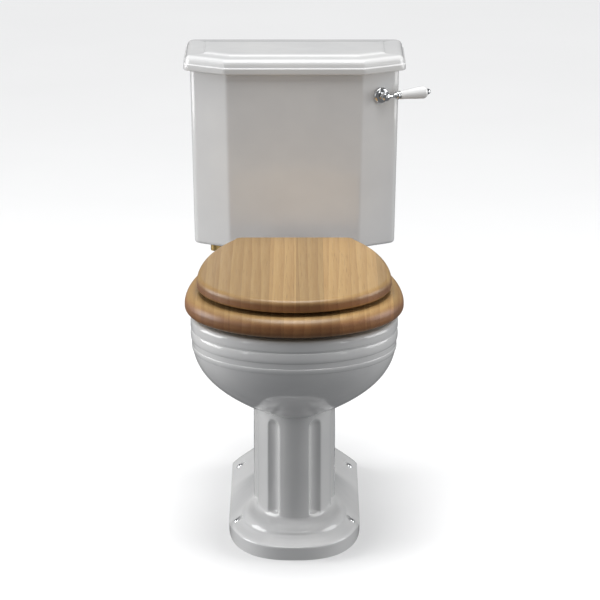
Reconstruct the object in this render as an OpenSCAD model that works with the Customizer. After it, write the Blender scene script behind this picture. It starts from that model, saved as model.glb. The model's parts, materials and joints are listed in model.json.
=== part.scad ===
// Close coupled toilet: a fluted pedestal pan, a lever cistern with its siphon and float valve,
// and a timber seat on a bar hinge. Millimetres, X to the right, -Y to the front, Z up.
// The origin is on the floor at the centre of the foot.

/* [Pan] */
// Length of the foot on the floor
foot_len = 510; // [480:5:615]
// Width of the foot on the floor
foot_w = 234; // [215:1:282]
// Height of the foot's upright plinth
plinth_h = 17; // [12:1:24]
// Height where the foot's slope meets the sides of the column
foot_top = 60; // [50:1:75]
// Width of the fluted column
column_w = 145; // [130:1:160]
// Height where the bowl springs from the column
column_h = 237; // [215:1:255]
// Height of the rim above the floor
rim_h = 420; // [350:1:505]
// Width of the bowl across the rim
rim_w = 360; // [345:1:400]
// Reach of the rim in front of the origin
rim_reach = 333; // [310:1:370]
// Rise of the cistern shelf above the rim
shelf_rise = 20; // [10:1:30]
// Width of the cistern shelf
shelf_w = 240; // [205:1:250]
// Thickness of the pan's walls
pan_wall = 12; // [9:1:14]
// Radius of one flute of the column
flute_r = 15; // [11:1:18]
// Depth of one flute
flute_deep = 7; // [4:0.5:9]

/* [Waterways] */
// Height of the outlet's centre above the floor
outlet_z = 185; // [170:1:200]
// Outside radius of the outlet spigot
outlet_r = 51; // [48:0.5:55]
// Reach of the spigot behind the column
outlet_len = 65; // [40:1:80]
// Inside radius of the trap passage
trap_r = 25; // [20:1:28]
// Height of the trap's weir
weir_z = 300; // [290:1:310]
// Inside radius of the flush inlet in the shelf
inlet_r = 28; // [26:0.5:32]

/* [Floor fixings] */
// Distance between the fixings across the foot
fixing_dx = 200; // [190:1:204]
// Distance between the fixings along the foot
fixing_dy = 302; // [250:1:340]
// Radius of a fixing hole
fixing_r = 4; // [3:0.25:5]
// Radius of the flat seat sunk around a fixing hole
fixing_seat_r = 8.5; // [7.5:0.25:9.5]
// Height of that seat above the floor
fixing_seat_z = 22; // [18:1:26]

/* [Cistern] */
// Width of the cistern body at its top
cistern_w = 379; // [345:1:455]
// Amount that the body narrows towards its bottom
cistern_taper = 13; // [0:1:24]
// Depth of the cistern body
cistern_d = 188; // [180:1:226]
// Height of the cistern body
cistern_h = 325; // [300:1:390]
// Thickness of the cistern's walls
cistern_wall = 10; // [8:0.5:12]
// Width of the front corner's chamfer, measured across the front
chamfer_x = 66; // [50:1:72]
// Depth of the front corner's chamfer
chamfer_y = 37; // [30:1:44]
// Gap between the shelf and the cistern's base
coupling_gap = 15; // [12:1:18]
// Overhang of the cistern lid at the front and the sides
lid_over = 12; // [8:1:16]
// Height of the cistern lid
lid_h = 28; // [24:1:36]
// Play of the lid's rib inside the cistern
lid_play = 2; // [1:0.25:4]

/* [Seat] */
// Width of the seat ring
seat_w = 380; // [370:1:400]
// Thickness of the seat ring
ring_t = 33; // [25:1:36]
// Width of the opening in the seat ring
ring_open_w = 224; // [200:1:250]
// Width of the seat lid
lid_w = 338; // [320:1:360]
// Thickness of the seat lid
lid_t = 22; // [18:1:26]
// Height of the rubber buffers under the ring
ring_buffer_h = 8; // [6:1:10]
// Gap between the ring and the seat lid
lid_gap = 7; // [6:0.5:10]
// Radius of the hinge rod
rod_r = 5; // [4:0.25:6]
// Distance between the two hinge pillars
pillar_dx = 155; // [145:1:165]

/* [Flush] */
// Length of the lever from its spindle to its tip
lever_len = 95; // [80:1:115]
// Travel of the lever
lever_turn = 36; // [24:1:40]
// Radius of the lever's spindle
spindle_r = 5; // [4:0.25:6]
// Radius of the siphon's chamber
chamber_r = 40; // [33:1:48]
// Radius of the siphon's tubes
siphon_r = 22; // [19:0.5:23]

/* [Filling] */
// Distance of the float valve to the left of the middle
valve_x = 145; // [140:1:150]
// Radius of the valve's threaded tail
tail_r = 10.5; // [9:0.25:11]
// Radius of the float
float_r = 30; // [24:1:34]
// Height of the float
float_h = 42; // [34:1:52]

/* [Fits] */
// Radial clearance of a part that turns or slides
run_fit = 0.05; // [0.02:0.01:0.1]
// Radial clearance of a bolt in its hole
bolt_fit = 1; // [0.5:0.25:2]
// Gap left between pieces that only meet
touch_gap = 0.2; // [0.1:0.05:0.5]

/* [Hidden] */
$fn = 64;

// Heights that follow from the sizes above
shelf_z = rim_h + shelf_rise;
cistern_z = shelf_z + coupling_gap;
base_t = cistern_wall + 2;
floor_z = cistern_z + base_t;
lid_z = cistern_z + cistern_h;
ring_z = rim_h + ring_buffer_h;
seat_lid_z = ring_z + ring_t + lid_gap;
rim_lip = 36;

// Places along the depth
foot_front = -foot_len / 2;
foot_back = foot_len / 2;
column_front = foot_front + 72;
column_back = foot_back - 10;
shelf_back = column_back + 85;
cistern_back = shelf_back + 8;
cistern_front = cistern_back - cistern_d;
inlet_y = cistern_front + cistern_d / 2 - 9;
hinge_y = cistern_front - 42;
hinge_z = ring_z + ring_t - 6;
shelf_front = hinge_y + 25;

// Outlines: [front, widest, back, half width, back half width, taper length, corner radius, roundness]
foot_o = [foot_front, foot_front + 190, foot_back, foot_w / 2, foot_w / 2, 5000, 36, 2.5];
column_rear = column_w / 2 - 18.5;
column_o = [column_front, column_front + 125, column_back, column_w / 2, column_rear, 207, 24, 2.1];
rim_o = [-rim_reach, -rim_reach + 168, shelf_back, rim_w / 2, shelf_w / 2, 377, 24, 2];
inner_o = [-rim_reach + 14, -rim_reach + 173, hinge_y - 48, rim_w / 2 - 14, 40, 225, 12, 2];
lip_o = [-rim_reach + 41, -rim_reach + 183, hinge_y - 70, rim_w / 2 - 46, 30, 205, 10, 2];
neck_o = [column_front + 13, column_front + 88, hinge_y - 88, column_w / 2 - 13, 20, 125, 10, 2];
sump_o = [column_front + 73, column_front + 121, column_front + 168, 38, 14, 70, 8, 2];
ring_o = [-rim_reach - 10, -rim_reach + 168, hinge_y - 16, seat_w / 2, 60, 335, 16, 2];
ring_in_o = [-rim_reach + 65, -rim_reach + 190, hinge_y - 96, ring_open_w / 2, 30, 185, 10, 2];
seat_lid_o = [-rim_reach + 10, -rim_reach + 178, hinge_y - 5, lid_w / 2, 60, 320, 14, 2];

sump_z = 118;
cavity_z = 100;
rear_cavity_w = 2 * (column_rear - pan_wall);
rear_cavity_front = hinge_y + 4;
rear_cavity_back = column_back - pan_wall;
shelf_under = rim_h - 20;
moulding_end = foot_front + 150;

// Lever frame: the spindle leaves the chamfer along its normal, and the lever lies along the chamfer
chamfer_len = norm([chamfer_x, chamfer_y]);
chamfer_turn = atan2(chamfer_y, chamfer_x);
lever_z = lid_z - 43;
lever_share = (lever_z - cistern_z) / cistern_h;
lever_half_w = cistern_w / 2 - cistern_taper / 2 * (1 - lever_share);
lever_x = lever_half_w - chamfer_x / 2;
lever_y = cistern_front + chamfer_y / 2;
lift_x = chamber_r + siphon_r - 1;
lift_y = inlet_y;
arm_swing = lever_turn / 2;
// Distances from the lever's centre to the lift rod, inward and along the chamfer
lift_dx = lever_x - lift_x;
lift_dy = lift_y - lever_y;
arm_mean = lift_dx * cos(chamfer_turn) - lift_dy * sin(chamfer_turn);
spindle_in = lift_dx * sin(chamfer_turn) + lift_dy * cos(chamfer_turn);
arm_r = arm_mean / ((1 + cos(arm_swing)) / 2);
arm_drop = arm_r * sin(arm_swing);
lift_travel = 2 * arm_drop;

// Siphon and valve heights
chamber_bottom = floor_z + 5;
chamber_h = lift_travel + 26;
chamber_top = chamber_bottom + chamber_h;
crown_z = max(chamber_top + 60, lever_z - 97);
plate_z = chamber_bottom + 6;
link_z = lever_z - arm_drop;
crown_h = 2 * siphon_r - 6;
guide_top = crown_z + crown_h + 4;
valve_y = inlet_y + 9;
pivot_x = -valve_x + 37;
pivot_z = lever_z - 37;
nose_r = 12;
float_dx = 42;

// Fixing points
fixing_mid_y = foot_front + 281;
fixings = [for (sx = [-1, 1], sy = [-1, 1]) [sx * fixing_dx / 2, fixing_mid_y + sy * fixing_dy / 2]];
pillars = [for (sx = [-1, 1]) [sx * pillar_dx / 2, hinge_y]];
coupling_dx = pillar_dx + 1;
couplings = [for (sx = [-1, 1]) [sx * coupling_dx / 2, inlet_y + 22]];
stud_r = 4;
nut_h = 10;
ring_leaf_x = 50;
lid_leaf_x = 92;
ring_pads = [[-146, -rim_reach + 118], [146, -rim_reach + 118], [-134, hinge_y - 100], [134, hinge_y - 100]];
lid_pads = [[-120, -rim_reach + 118], [120, -rim_reach + 118], [-126, hinge_y - 130], [126, hinge_y - 130]];

china = [0.95, 0.95, 0.94];
oak = [0.66, 0.48, 0.28];
chrome = [0.78, 0.79, 0.80];
brass = [0.78, 0.63, 0.32];
rubber = [0.16, 0.16, 0.16];
plastic = [0.88, 0.88, 0.86];
steel = [0.62, 0.63, 0.64];

// ---- curves and skins ----

function smooth(u) = let (t = min(1, max(0, u))) t * t * (3 - 2 * t);

function lerp(a, b, t) = a + (b - a) * t;

// Half width of an outline's side at a depth y, with an offset b
function side_x(o, b, y) = max(o[4] + b, (o[3] + b) * sqrt(max(0, 1 - pow((y - o[1]) / (o[5] + b), 2))));

// Right half of an outline, from its front to its back
function half_outline(o, b) = let (
    yf = o[0] - b,
    yb = o[2] + b,
    rc = o[6],
    xc = side_x(o, b, yb - rc)
) concat(
    [for (a = [0 : 7.5 : 90]) [
        (o[3] + b) * pow(sin(a), 2 / o[7]),
        o[1] - (o[1] - yf) * pow(cos(a), 2 / o[7])
    ]],
    [for (i = [1 : 6]) let (y = lerp(o[1], yb - rc, i / 6)) [side_x(o, b, y), y]],
    [for (i = [1 : 4]) [xc - rc + rc * cos(22.5 * i), yb - rc + rc * sin(22.5 * i)]],
    [for (i = [1 : 2]) [(xc - rc) * (1 - i / 2), yb]]
);

// Whole outline, anticlockwise from the front
function outline(o, b = 0) = let (h = half_outline(o, b), n = len(h)) concat(
    h,
    [for (i = [n - 2 : -1 : 1]) [-h[i][0], h[i][1]]]
);

function lift(points, z) = [for (p = points) [p[0], p[1], z]];

function blend(a, b, t) = [for (i = [0 : len(a) - 1]) lerp(a[i], b[i], t)];

// Closed skin through rings of equal length: it starts and ends on a flat ring, or closes into a loop
module skin(rings, loop = false) {
    n = len(rings[0]);
    last = len(rings) - 1;
    points = [for (ring = rings) for (p = ring) p];
    walls = [for (k = [0 : last - 1]) for (i = [0 : n - 1]) let (
        j = (i + 1) % n,
        a = k * n + i,
        b = k * n + j,
        c = a + n,
        d = b + n
    ) each [[d, b, a], [c, d, a]]];
    seam = [for (i = [0 : n - 1]) let (
        j = (i + 1) % n,
        a = last * n + i,
        b = last * n + j
    ) each [[j, b, a], [i, j, a]]];
    ends = [[for (i = [0 : n - 1]) i], [for (i = [n - 1 : -1 : 0]) last * n + i]];
    polyhedron(points, concat(walls, loop ? seam : ends), convexity = 10);
}

// Arc of n + 1 points that rounds the corner p1 of a polygon
function corner(p0, p1, p2, r, n) = let (
    u = (p0 - p1) / norm(p0 - p1),
    v = (p2 - p1) / norm(p2 - p1),
    half = acos(u * v) / 2,
    centre = p1 + (u + v) / norm(u + v) * r / sin(half),
    from = p1 + u * r / tan(half) - centre,
    sweep = 180 - 2 * half
) [for (i = [0 : n]) let (a = sweep * i / n) centre + [
    from[0] * cos(a) - from[1] * sin(a),
    from[0] * sin(a) + from[1] * cos(a)
]];

// Cistern outline: a box with its two front corners cut off and every corner softened
function box_outline(half_w, front, back, inset) = let (
    w = half_w - inset,
    f = front + inset,
    k = back - inset,
    a = half_w - chamfer_x - inset * (chamfer_len - chamfer_x) / chamfer_y,
    b = front + chamfer_y + inset * (chamfer_len - chamfer_y) / chamfer_x,
    r = max(3, 16 - inset / 2),
    p = [[a, f], [w, b], [w, k], [-w, k], [-w, b], [-a, f]]
) [for (i = [0 : 5]) each corner(p[(i + 5) % 6], p[i], p[(i + 1) % 6], (i == 2 || i == 3) ? r * 0.7 : r, 4)];

function body_outline(z, inset) = let (
    half_w = cistern_w / 2 - cistern_taper / 2 * (1 - (z - cistern_z) / cistern_h)
) lift(box_outline(half_w, cistern_front, cistern_back, inset), z);

function lid_outline(z, inset) = lift(
    box_outline(cistern_w / 2, cistern_front, cistern_back + 5 - lid_over, inset - lid_over), z);

// ---- small shapes used by several parts ----

module each_at(points) {
    for (p = points) {
        translate([p[0], p[1], 0]) children();
    }
}

module tube(r, bore, z0, z1) {
    difference() {
        translate([0, 0, z0]) cylinder(r = r, h = z1 - z0);
        translate([0, 0, z0 - 1]) cylinder(r = bore, h = z1 - z0 + 2);
    }
}

module hex_nut(across, bore, z0, h) {
    difference() {
        translate([0, 0, z0]) cylinder(r = across / 2 / cos(30), h = h, $fn = 6);
        translate([0, 0, z0 - 1]) cylinder(r = bore, h = h + 2);
    }
}

module wing_nut(z0) {
    difference() {
        union() {
            translate([0, 0, z0]) cylinder(r = 7, h = nut_h);
            for (s = [-1, 1]) {
                translate([s * 8, 1.5, z0 + 3]) rotate([90, 0, 0]) cylinder(r = 5, h = 3);
            }
        }
        translate([0, 0, z0 - 6]) cylinder(r = stud_r, h = nut_h + 12);
    }
}

// Straight round bar from point p to point q
module bar(p, q, r) {
    d = q - p;
    translate(p) rotate([0, acos(d[2] / norm(d)), atan2(d[1], d[0])]) cylinder(r = r, h = norm(d));
}

// Frame of the lever: X along the chamfer, -Y out of it, Z up
module lever_frame() {
    translate([lever_x, lever_y, lever_z]) rotate([0, 0, chamfer_turn]) children();
}

// Bar along the spindle, from a distance a inside to a distance b outside
module along_spindle(a, b, r) {
    translate([0, a, 0]) rotate([90, 0, 0]) cylinder(r = r, h = a + b);
}

// Rounded slab: an outline with its top and bottom edges turned by the radii r0 and r1
function slab_rings(o, z0, z1, r0, r1) = concat(
    [for (a = [0 : 22.5 : 90]) lift(outline(o, -r0 * (1 - sin(a))), z0 + r0 * (1 - cos(a)))],
    [for (a = [0 : 22.5 : 90]) lift(outline(o, -r1 * (1 - cos(a))), z1 - r1 * (1 - sin(a)))]
);

// ---- pan ----

// Steps of the foot: [height, share of the way from the foot's outline to the column's]
foot_steps = [[0, 0], [plinth_h - 2, 0], [plinth_h, 0.03], [plinth_h + 3, 0.12], [plinth_h + 10, 0.58],
    [plinth_h + 13, 0.62], [plinth_h + 19, 0.65], [plinth_h + 24, 0.70], [plinth_h + 29, 0.79],
    [plinth_h + 32, 0.90], [plinth_h + 34, 0.97], [plinth_h + 36, 1]];

// The same steps where the sides only slope
function slope_step(k) = let (n = len(foot_steps) - 1)
    k < 2 ? foot_steps[k] : [lerp(plinth_h - 2, foot_top, (k - 1) / (n - 1)), pow((k - 1) / (n - 1), 1.1)];

function foot_ring(k) = let (f = outline(foot_o), c = outline(column_o)) [
    for (i = [0 : len(f) - 1]) let (
        w = smooth((moulding_end - f[i][1]) / 60),
        s = lerp(slope_step(k), foot_steps[k], w),
        p = lerp(f[i], c[i], s[1])
    ) [p[0], p[1], s[0]]
];

bowl_top = rim_h - 30;

// Share of the way from the column's outline to the rim's at a height of the bowl
function bowl_share(z) = 1 - pow(max(0, (bowl_top - z) / (bowl_top - column_h)), 2.3);

function shelf_share(z) = smooth((z - (rim_h - 36)) / 22);

// Two beads that run round the bowl under its rim
function bead(z, mid, half, rise) = rise * sqrt(max(0, 1 - pow((z - mid) / half, 2)));

function beads(z) = bead(z, rim_h - 30, 9, 3) + bead(z, rim_h - 54, 5, 2);

function bowl_ring(z) = let (c = outline(column_o), r = outline(rim_o, beads(z) - 3)) [
    for (i = [0 : len(c) - 1]) let (
        w = smooth((r[i][1] - 10) / (hinge_y - 10)),
        p = lerp(c[i], r[i], lerp(bowl_share(z), shelf_share(z), w))
    ) [p[0], p[1], z]
];

bowl_heights = concat(
    [for (u = [0, 0.04, 0.1, 0.18, 0.28, 0.4, 0.54, 0.68]) lerp(column_h, rim_h - 60, u)],
    [rim_h - 59.5, rim_h - 57, rim_h - 54, rim_h - 51, rim_h - 48.5, rim_h - 42, rim_h - 39.5],
    [rim_h - 36, rim_h - 30, rim_h - 24, rim_h - 20.5, rim_h - 18]
);

rim_rings = [
    lift(outline(rim_o), rim_h - 16),
    lift(outline(rim_o), rim_h - 7),
    lift(outline(rim_o, -2), rim_h - 2),
    lift(outline(rim_o, -7), rim_h)
];

// Inside of the bowl, from the floor of its sump to the roof of the box rim
bowl_inside = concat(
    [for (u = [0, 0.1, 0.25, 0.5, 0.75])
        lift(blend(outline(sump_o, u == 0 ? -8 : 0), outline(neck_o), smooth(u)), lerp(sump_z, column_h, u))],
    [for (u = [0, 0.08, 0.18, 0.3, 0.44, 0.58, 0.72, 0.86])
        lift(blend(outline(neck_o), outline(inner_o), 1 - pow(1 - u, 2.1)), lerp(column_h, rim_h - 42, u))],
    [lift(outline(inner_o), rim_h - 42), lift(outline(inner_o), rim_h - 13)]
);

// Mouth of the bowl, inside the lip that hangs from the rim
mouth = [
    lift(outline(lip_o), rim_h - rim_lip - 1),
    lift(outline(lip_o), rim_h - 7),
    lift(outline(lip_o, 1), rim_h - 2),
    lift(outline(lip_o, 11), rim_h + 2)
];

cavity_rings = [
    lift(outline(column_o, -pan_wall), cavity_z),
    lift(outline(column_o, -pan_wall), foot_top),
    lift(blend(outline(foot_o, -pan_wall - 24), outline(column_o, -pan_wall), 0.5), foot_top / 2),
    lift(outline(foot_o, -pan_wall - 20), 0)
];

module pan_shell() {
    difference() {
        skin(concat(
            cavity_rings,
            [for (k = [0 : len(foot_steps) - 1]) foot_ring(k)],
            [for (z = bowl_heights) bowl_ring(z)],
            rim_rings
        ));
        difference() {
            skin(bowl_inside);
            skin([lift(outline(lip_o, 9), rim_h - rim_lip), lift(outline(lip_o, 9), rim_h)]);
        }
        skin(mouth);
    }
}

// Shelf that carries the cistern
module shelf() {
    hull() {
        translate([0, 0, rim_h - 12]) linear_extrude(shelf_rise + 9) shelf_plan(0);
        translate([0, 0, rim_h - 12]) linear_extrude(shelf_rise + 12) shelf_plan(4);
    }
}

module shelf_plan(inset) {
    w = shelf_w / 2 - inset;
    polygon(round_box(w, shelf_front + inset, shelf_back - inset, 20));
}

function round_box(w, front, back, r) = let (
    p = [[w, front], [w, back], [-w, back], [-w, front]]
) [for (i = [0 : 3]) each corner(p[(i + 3) % 4], p[i], p[(i + 1) % 4], r, 4)];

// Trap passage from the sump over the weir and down to the spigot
trap_in = [0, sump_o[1] + 15, sump_z + 27];
trap_top = [0, hinge_y - 3, weir_z];
trap_out = [0, column_back - 4, outlet_z];

// Passage of radius r
// The ball over the weir is larger than both legs, and the falling leg larger than the rising one
module trap(r) {
    bar(trap_in, trap_top, r);
    translate(trap_top) sphere(r = r + 3);
    bar(trap_top, trap_out, r + 1);
}

duct_r = 20;
duct_z = rim_h - 25;
collar_len = 4;

// Flush duct of radius r, from under the cistern to the bowl, with a ball at its bend
module duct(r) {
    bar([0, inlet_y, duct_z], [0, inner_o[2] - 4, duct_z], r);
    translate([0, inlet_y, duct_z]) sphere(r = r + 2);
}

module pan() {
    color(china) difference() {
        union() {
            difference() {
                pan_shell();
                translate([-rear_cavity_w / 2, rear_cavity_front, -1])
                    cube([rear_cavity_w, rear_cavity_back - rear_cavity_front, rim_h - 14]);
            }
            intersection() {
                union() {
                    trap(trap_r + 10);
                    duct(duct_r + 12);
                }
                translate([-rear_cavity_w / 2 - 1, rear_cavity_front - 6, 90])
                    cube([rear_cavity_w + 2, rear_cavity_back - rear_cavity_front + 12, rim_h - 92]);
            }
            shelf();
            bar([0, column_back - 14, outlet_z], [0, column_back + collar_len, outlet_z], outlet_r + 6);
            bar([0, column_back - 6, outlet_z], [0, column_back + outlet_len, outlet_z], outlet_r);
        }
        trap(trap_r);
        bar([0, column_back - 10, outlet_z], [0, column_back + outlet_len + 1, outlet_z], outlet_r - 8);
        duct(duct_r);
        translate([0, inlet_y, duct_z]) cylinder(r = inlet_r, h = shelf_z - duct_z + 1);
        pan_holes();
        flutes();
    }
}

// Holes for the floor screws, the seat studs and the cistern bolts
counterbore_r = 14.5;

module pan_holes() {
    each_at(fixings) {
        translate([0, 0, -1]) cylinder(r = fixing_r, h = 60);
        translate([0, 0, fixing_seat_z]) cylinder(r = fixing_seat_r, h = 40);
    }
    each_at(pillars) {
        translate([0, 0, rim_h - 60]) cylinder(r = stud_r + bolt_fit * 2, h = 70);
        translate([0, 0, rim_h - 60]) cylinder(r = counterbore_r, h = 60 + shelf_under - rim_h);
    }
    each_at(couplings) {
        translate([0, 0, rim_h - 60]) cylinder(r = stud_r + bolt_fit * 2, h = 90);
        translate([0, 0, rim_h - 60]) cylinder(r = counterbore_r, h = 60 + shelf_under - rim_h);
    }
}

// Flutes of the column: round-topped grooves at these turns round its bowed front
flute_at = [30, 69];

module flutes() {
    for (s = [-1, 1], a = flute_at) {
        x = column_w / 2 * sin(a);
        y = column_o[1] - (column_o[1] - column_front) * cos(a);
        n = [sin(a) / (column_w / 2), -cos(a) / (column_o[1] - column_front)];
        c = [x, y] + n / norm(n) * (flute_r - flute_deep);
        translate([s * c[0], c[1], plinth_h + 40]) cylinder(r = flute_r, h = column_h - plinth_h - 62);
        translate([s * c[0], c[1], column_h - 22]) sphere(r = flute_r);
    }
}

module floor_screw_cups() {
    color(chrome) each_at(fixings) {
        tube(fixing_seat_r - 0.6, 2.5, fixing_seat_z, fixing_seat_z + 2);
    }
}

module floor_screw_caps() {
    color(chrome) each_at(fixings) {
        translate([0, 0, fixing_seat_z + 2]) rotate_extrude() intersection() {
            translate([0, -6]) circle(r = 10);
            square([fixing_seat_r - 1, 5]);
        }
    }
}

// ---- cistern ----

// The bottom ring of the cistern's inside, drawn in by its own wall
function well(z, extra) = body_outline(z, cistern_wall + extra);

module cistern() {
    color(china) difference() {
        skin([
            body_outline(cistern_z, 5),
            body_outline(cistern_z + 1.5, 1.5),
            body_outline(cistern_z + 5, 0),
            body_outline(lid_z, 0),
            well(lid_z, 0),
            well(floor_z + 8, 0),
            well(floor_z + 2, 2),
            well(floor_z, 7)
        ]);
        translate([0, inlet_y, cistern_z - 1]) cylinder(r = siphon_r + 0.7, h = base_t + 2);
        for (s = [-1, 1]) {
            translate([s * valve_x, valve_y, cistern_z - 1]) cylinder(r = tail_r + 0.5, h = base_t + 2);
        }
        each_at(couplings) {
            translate([0, 0, cistern_z - 1]) cylinder(r = stud_r + bolt_fit, h = base_t + 2);
        }
        lever_frame() along_spindle(cistern_wall * 2, 10, spindle_r + 3.2);
        for (s = [-1, 1]) {
            translate([s * wall_hole_dx / 2, cistern_back + 1, wall_hole_z])
                rotate([90, 0, 0]) cylinder(r = wall_hole_r, h = cistern_wall + 2);
        }
    }
}

wall_hole_dx = 220;
wall_hole_z = lid_z - 70;
wall_hole_r = 4;

module cistern_lid() {
    rib = lid_over + cistern_wall + lid_play;
    color(china) skin([
        lid_outline(lid_z + 14, rib + 12),
        lid_outline(lid_z + 6, rib + 9),
        lid_outline(lid_z - 8, rib + 8),
        lid_outline(lid_z - 8, rib + 1),
        lid_outline(lid_z - 6, rib),
        lid_outline(lid_z, rib),
        lid_outline(lid_z, 1.5),
        lid_outline(lid_z + 1.5, 0),
        lid_outline(lid_z + 11, 0),
        lid_outline(lid_z + 12.5, 1.5),
        lid_outline(lid_z + 14.5, 2),
        lid_outline(lid_z + 17, 4),
        lid_outline(lid_z + 20, 8.5),
        lid_outline(lid_z + lid_h - 5.5, 14),
        lid_outline(lid_z + lid_h - 4, 18),
        lid_outline(lid_z + lid_h - 3.5, 36),
        lid_outline(lid_z + lid_h - 1, 39),
        lid_outline(lid_z + lid_h, 43)
    ]);
}

module doughnut_washer() {
    color(rubber) translate([0, inlet_y, 0]) tube(siphon_r + 26, siphon_r + 15, shelf_z, cistern_z);
}

module coupling_bolts() {
    color(brass) each_at(couplings) {
        translate([0, 0, floor_z + 2]) cylinder(r = 9, h = 4.5);
        translate([0, 0, shelf_under - nut_h - 8])
            cylinder(r = stud_r, h = floor_z - shelf_under + nut_h + 11);
    }
}

module coupling_top_washers() {
    color(rubber) each_at(couplings) {
        tube(12, stud_r, floor_z, floor_z + 2);
    }
}

module coupling_lower_washers() {
    color(steel) each_at(couplings) {
        tube(13, stud_r, shelf_under - 2, shelf_under);
    }
}

module coupling_wing_nuts() {
    color(brass) each_at(couplings) {
        wing_nut(shelf_under - 2 - nut_h);
    }
}

// ---- seat ----

module wood_holes(x_list, y_list, z0, h) {
    for (s = [-1, 1], x = x_list, y = y_list) {
        translate([s * x, y, z0]) cylinder(r = 2, h = h);
    }
}

leaf_t = 2.5;
leaf_ys = [hinge_y - 46, hinge_y - 26];
barrel_r = rod_r + 3.5;

module seat_ring() {
    top = ring_z + ring_t;
    color(oak) difference() {
        skin(concat(
            slab_rings(ring_o, ring_z, top, 12, 16),
            [
                lift(outline(ring_in_o, 8), top),
                lift(outline(ring_in_o, 3), top - 2),
                lift(outline(ring_in_o, 0), top - 8),
                lift(outline(ring_in_o, 0), ring_z + 6),
                lift(outline(ring_in_o, 2), ring_z + 1.5),
                lift(outline(ring_in_o, 6), ring_z)
            ]
        ), loop = true);
        wood_holes([ring_leaf_x], leaf_ys, top - 14, 20);
        wood_holes([ring_leaf_x + 10], leaf_ys, top - 14, 20);
    }
}

module seat_lid() {
    color(oak) difference() {
        skin(slab_rings(seat_lid_o, seat_lid_z, seat_lid_z + lid_t, 5, 9));
        wood_holes([lid_leaf_x - 5], leaf_ys, seat_lid_z - 1, 14);
    }
}

module ring_buffers() {
    color(rubber) each_at(ring_pads) {
        translate([0, 0, rim_h + touch_gap]) cylinder(r = 9, h = ring_buffer_h - touch_gap);
    }
}

module lid_buffers() {
    color(rubber) each_at(lid_pads) {
        translate([0, 0, ring_z + ring_t + touch_gap]) cylinder(r = 8, h = lid_gap - touch_gap);
    }
}

module hinge_pillars() {
    color(chrome) each_at(pillars) {
        difference() {
            union() {
                translate([0, 0, rim_h + 1.5]) cylinder(r = 13, h = 4);
                translate([0, 0, rim_h + 5.5]) cylinder(r1 = 11, r2 = 8, h = 5);
                translate([0, 0, rim_h + 9]) cylinder(r = 8, h = hinge_z - rim_h - 12);
                translate([-8, 0, hinge_z]) rotate([0, 90, 0]) cylinder(r = rod_r + 5.5, h = 16);
            }
            translate([-20, 0, hinge_z]) rotate([0, 90, 0]) cylinder(r = rod_r, h = 40);
            translate([0, 0, rim_h - 1]) cylinder(r = stud_r, h = 14);
        }
    }
}

module hinge_seals() {
    color(rubber) each_at(pillars) {
        tube(13.5, stud_r, rim_h, rim_h + 1.5);
    }
}

rod_half = pillar_dx / 2 + 28;

module hinge_rod() {
    color(chrome) bar([-rod_half, hinge_y, hinge_z], [rod_half, hinge_y, hinge_z], rod_r);
}

module hinge_rod_caps() {
    color(chrome) for (s = [-1, 1]) {
        translate([s * rod_half, hinge_y, hinge_z]) rotate([0, s * 90, 0]) rotate_extrude() intersection() {
            translate([0, -2]) circle(r = rod_r + 3);
            square([rod_r + 3, rod_r + 3]);
        }
    }
}

module hinge_studs() {
    color(steel) each_at(pillars) {
        translate([0, 0, shelf_under - nut_h - 8])
            cylinder(r = stud_r, h = rim_h - shelf_under + nut_h + 21);
    }
}

module hinge_stud_washers() {
    color(rubber) each_at(pillars) {
        tube(13, stud_r, shelf_under - 3, shelf_under);
    }
}

module hinge_wing_nuts() {
    color(plastic) each_at(pillars) {
        wing_nut(shelf_under - 3 - nut_h);
    }
}

// One leaf of the bar hinge: a flat plate with a barrel round the rod
module leaf(x, z0, w, holes) {
    difference() {
        union() {
            translate([x - w / 2, hinge_y - 54, z0]) cube([w, 59, leaf_t]);
            translate([x - w / 2, hinge_y - 5, hinge_z]) cube([w, 10, z0 - hinge_z + 1]);
            translate([x - w / 2, hinge_y, hinge_z]) rotate([0, 90, 0]) cylinder(r = barrel_r, h = w);
        }
        translate([x - w, hinge_y, hinge_z]) rotate([0, 90, 0]) cylinder(r = rod_r + run_fit, h = 2 * w);
        for (dx = holes, y = leaf_ys) {
            translate([x + dx, y, z0 - 1]) cylinder(r = 2, h = leaf_t + 2);
        }
    }
}

module ring_hinge_leaves() {
    color(chrome) for (s = [-1, 1]) {
        leaf(s * (ring_leaf_x + 5), ring_z + ring_t, 22, [-5, 5]);
    }
}

module lid_hinge_leaves() {
    color(chrome) for (s = [-1, 1]) {
        leaf(s * (lid_leaf_x + 3), seat_lid_z - leaf_t, 14, [-s * 8]);
    }
}

module ring_hinge_screws() {
    color(brass) for (s = [-1, 1], dx = [0, 10], y = leaf_ys) {
        translate([s * (ring_leaf_x + dx), y, ring_z + ring_t - 12]) cylinder(r = 2, h = 12 + leaf_t);
        translate([s * (ring_leaf_x + dx), y, ring_z + ring_t + leaf_t])
            cylinder(r1 = 3.6, r2 = 2.8, h = 1.2);
    }
}

module lid_hinge_screws() {
    color(brass) for (s = [-1, 1], y = leaf_ys) {
        translate([s * (lid_leaf_x - 5), y, seat_lid_z - leaf_t]) cylinder(r = 2, h = leaf_t + 11);
        translate([s * (lid_leaf_x - 5), y, seat_lid_z - leaf_t - 1.2]) cylinder(r1 = 2.8, r2 = 3.6, h = 1.2);
    }
}

// ---- flush lever ----

neck_y = -17;
grip_start = 30;
grip_end = lever_len - 9;
core_r = 2.5;

// Turned shape along the lever's length: points are [radius, distance from the spindle]
module turned(points) {
    translate([0, neck_y, 0]) rotate([0, 90, 0]) rotate_extrude() polygon(points);
}

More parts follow.
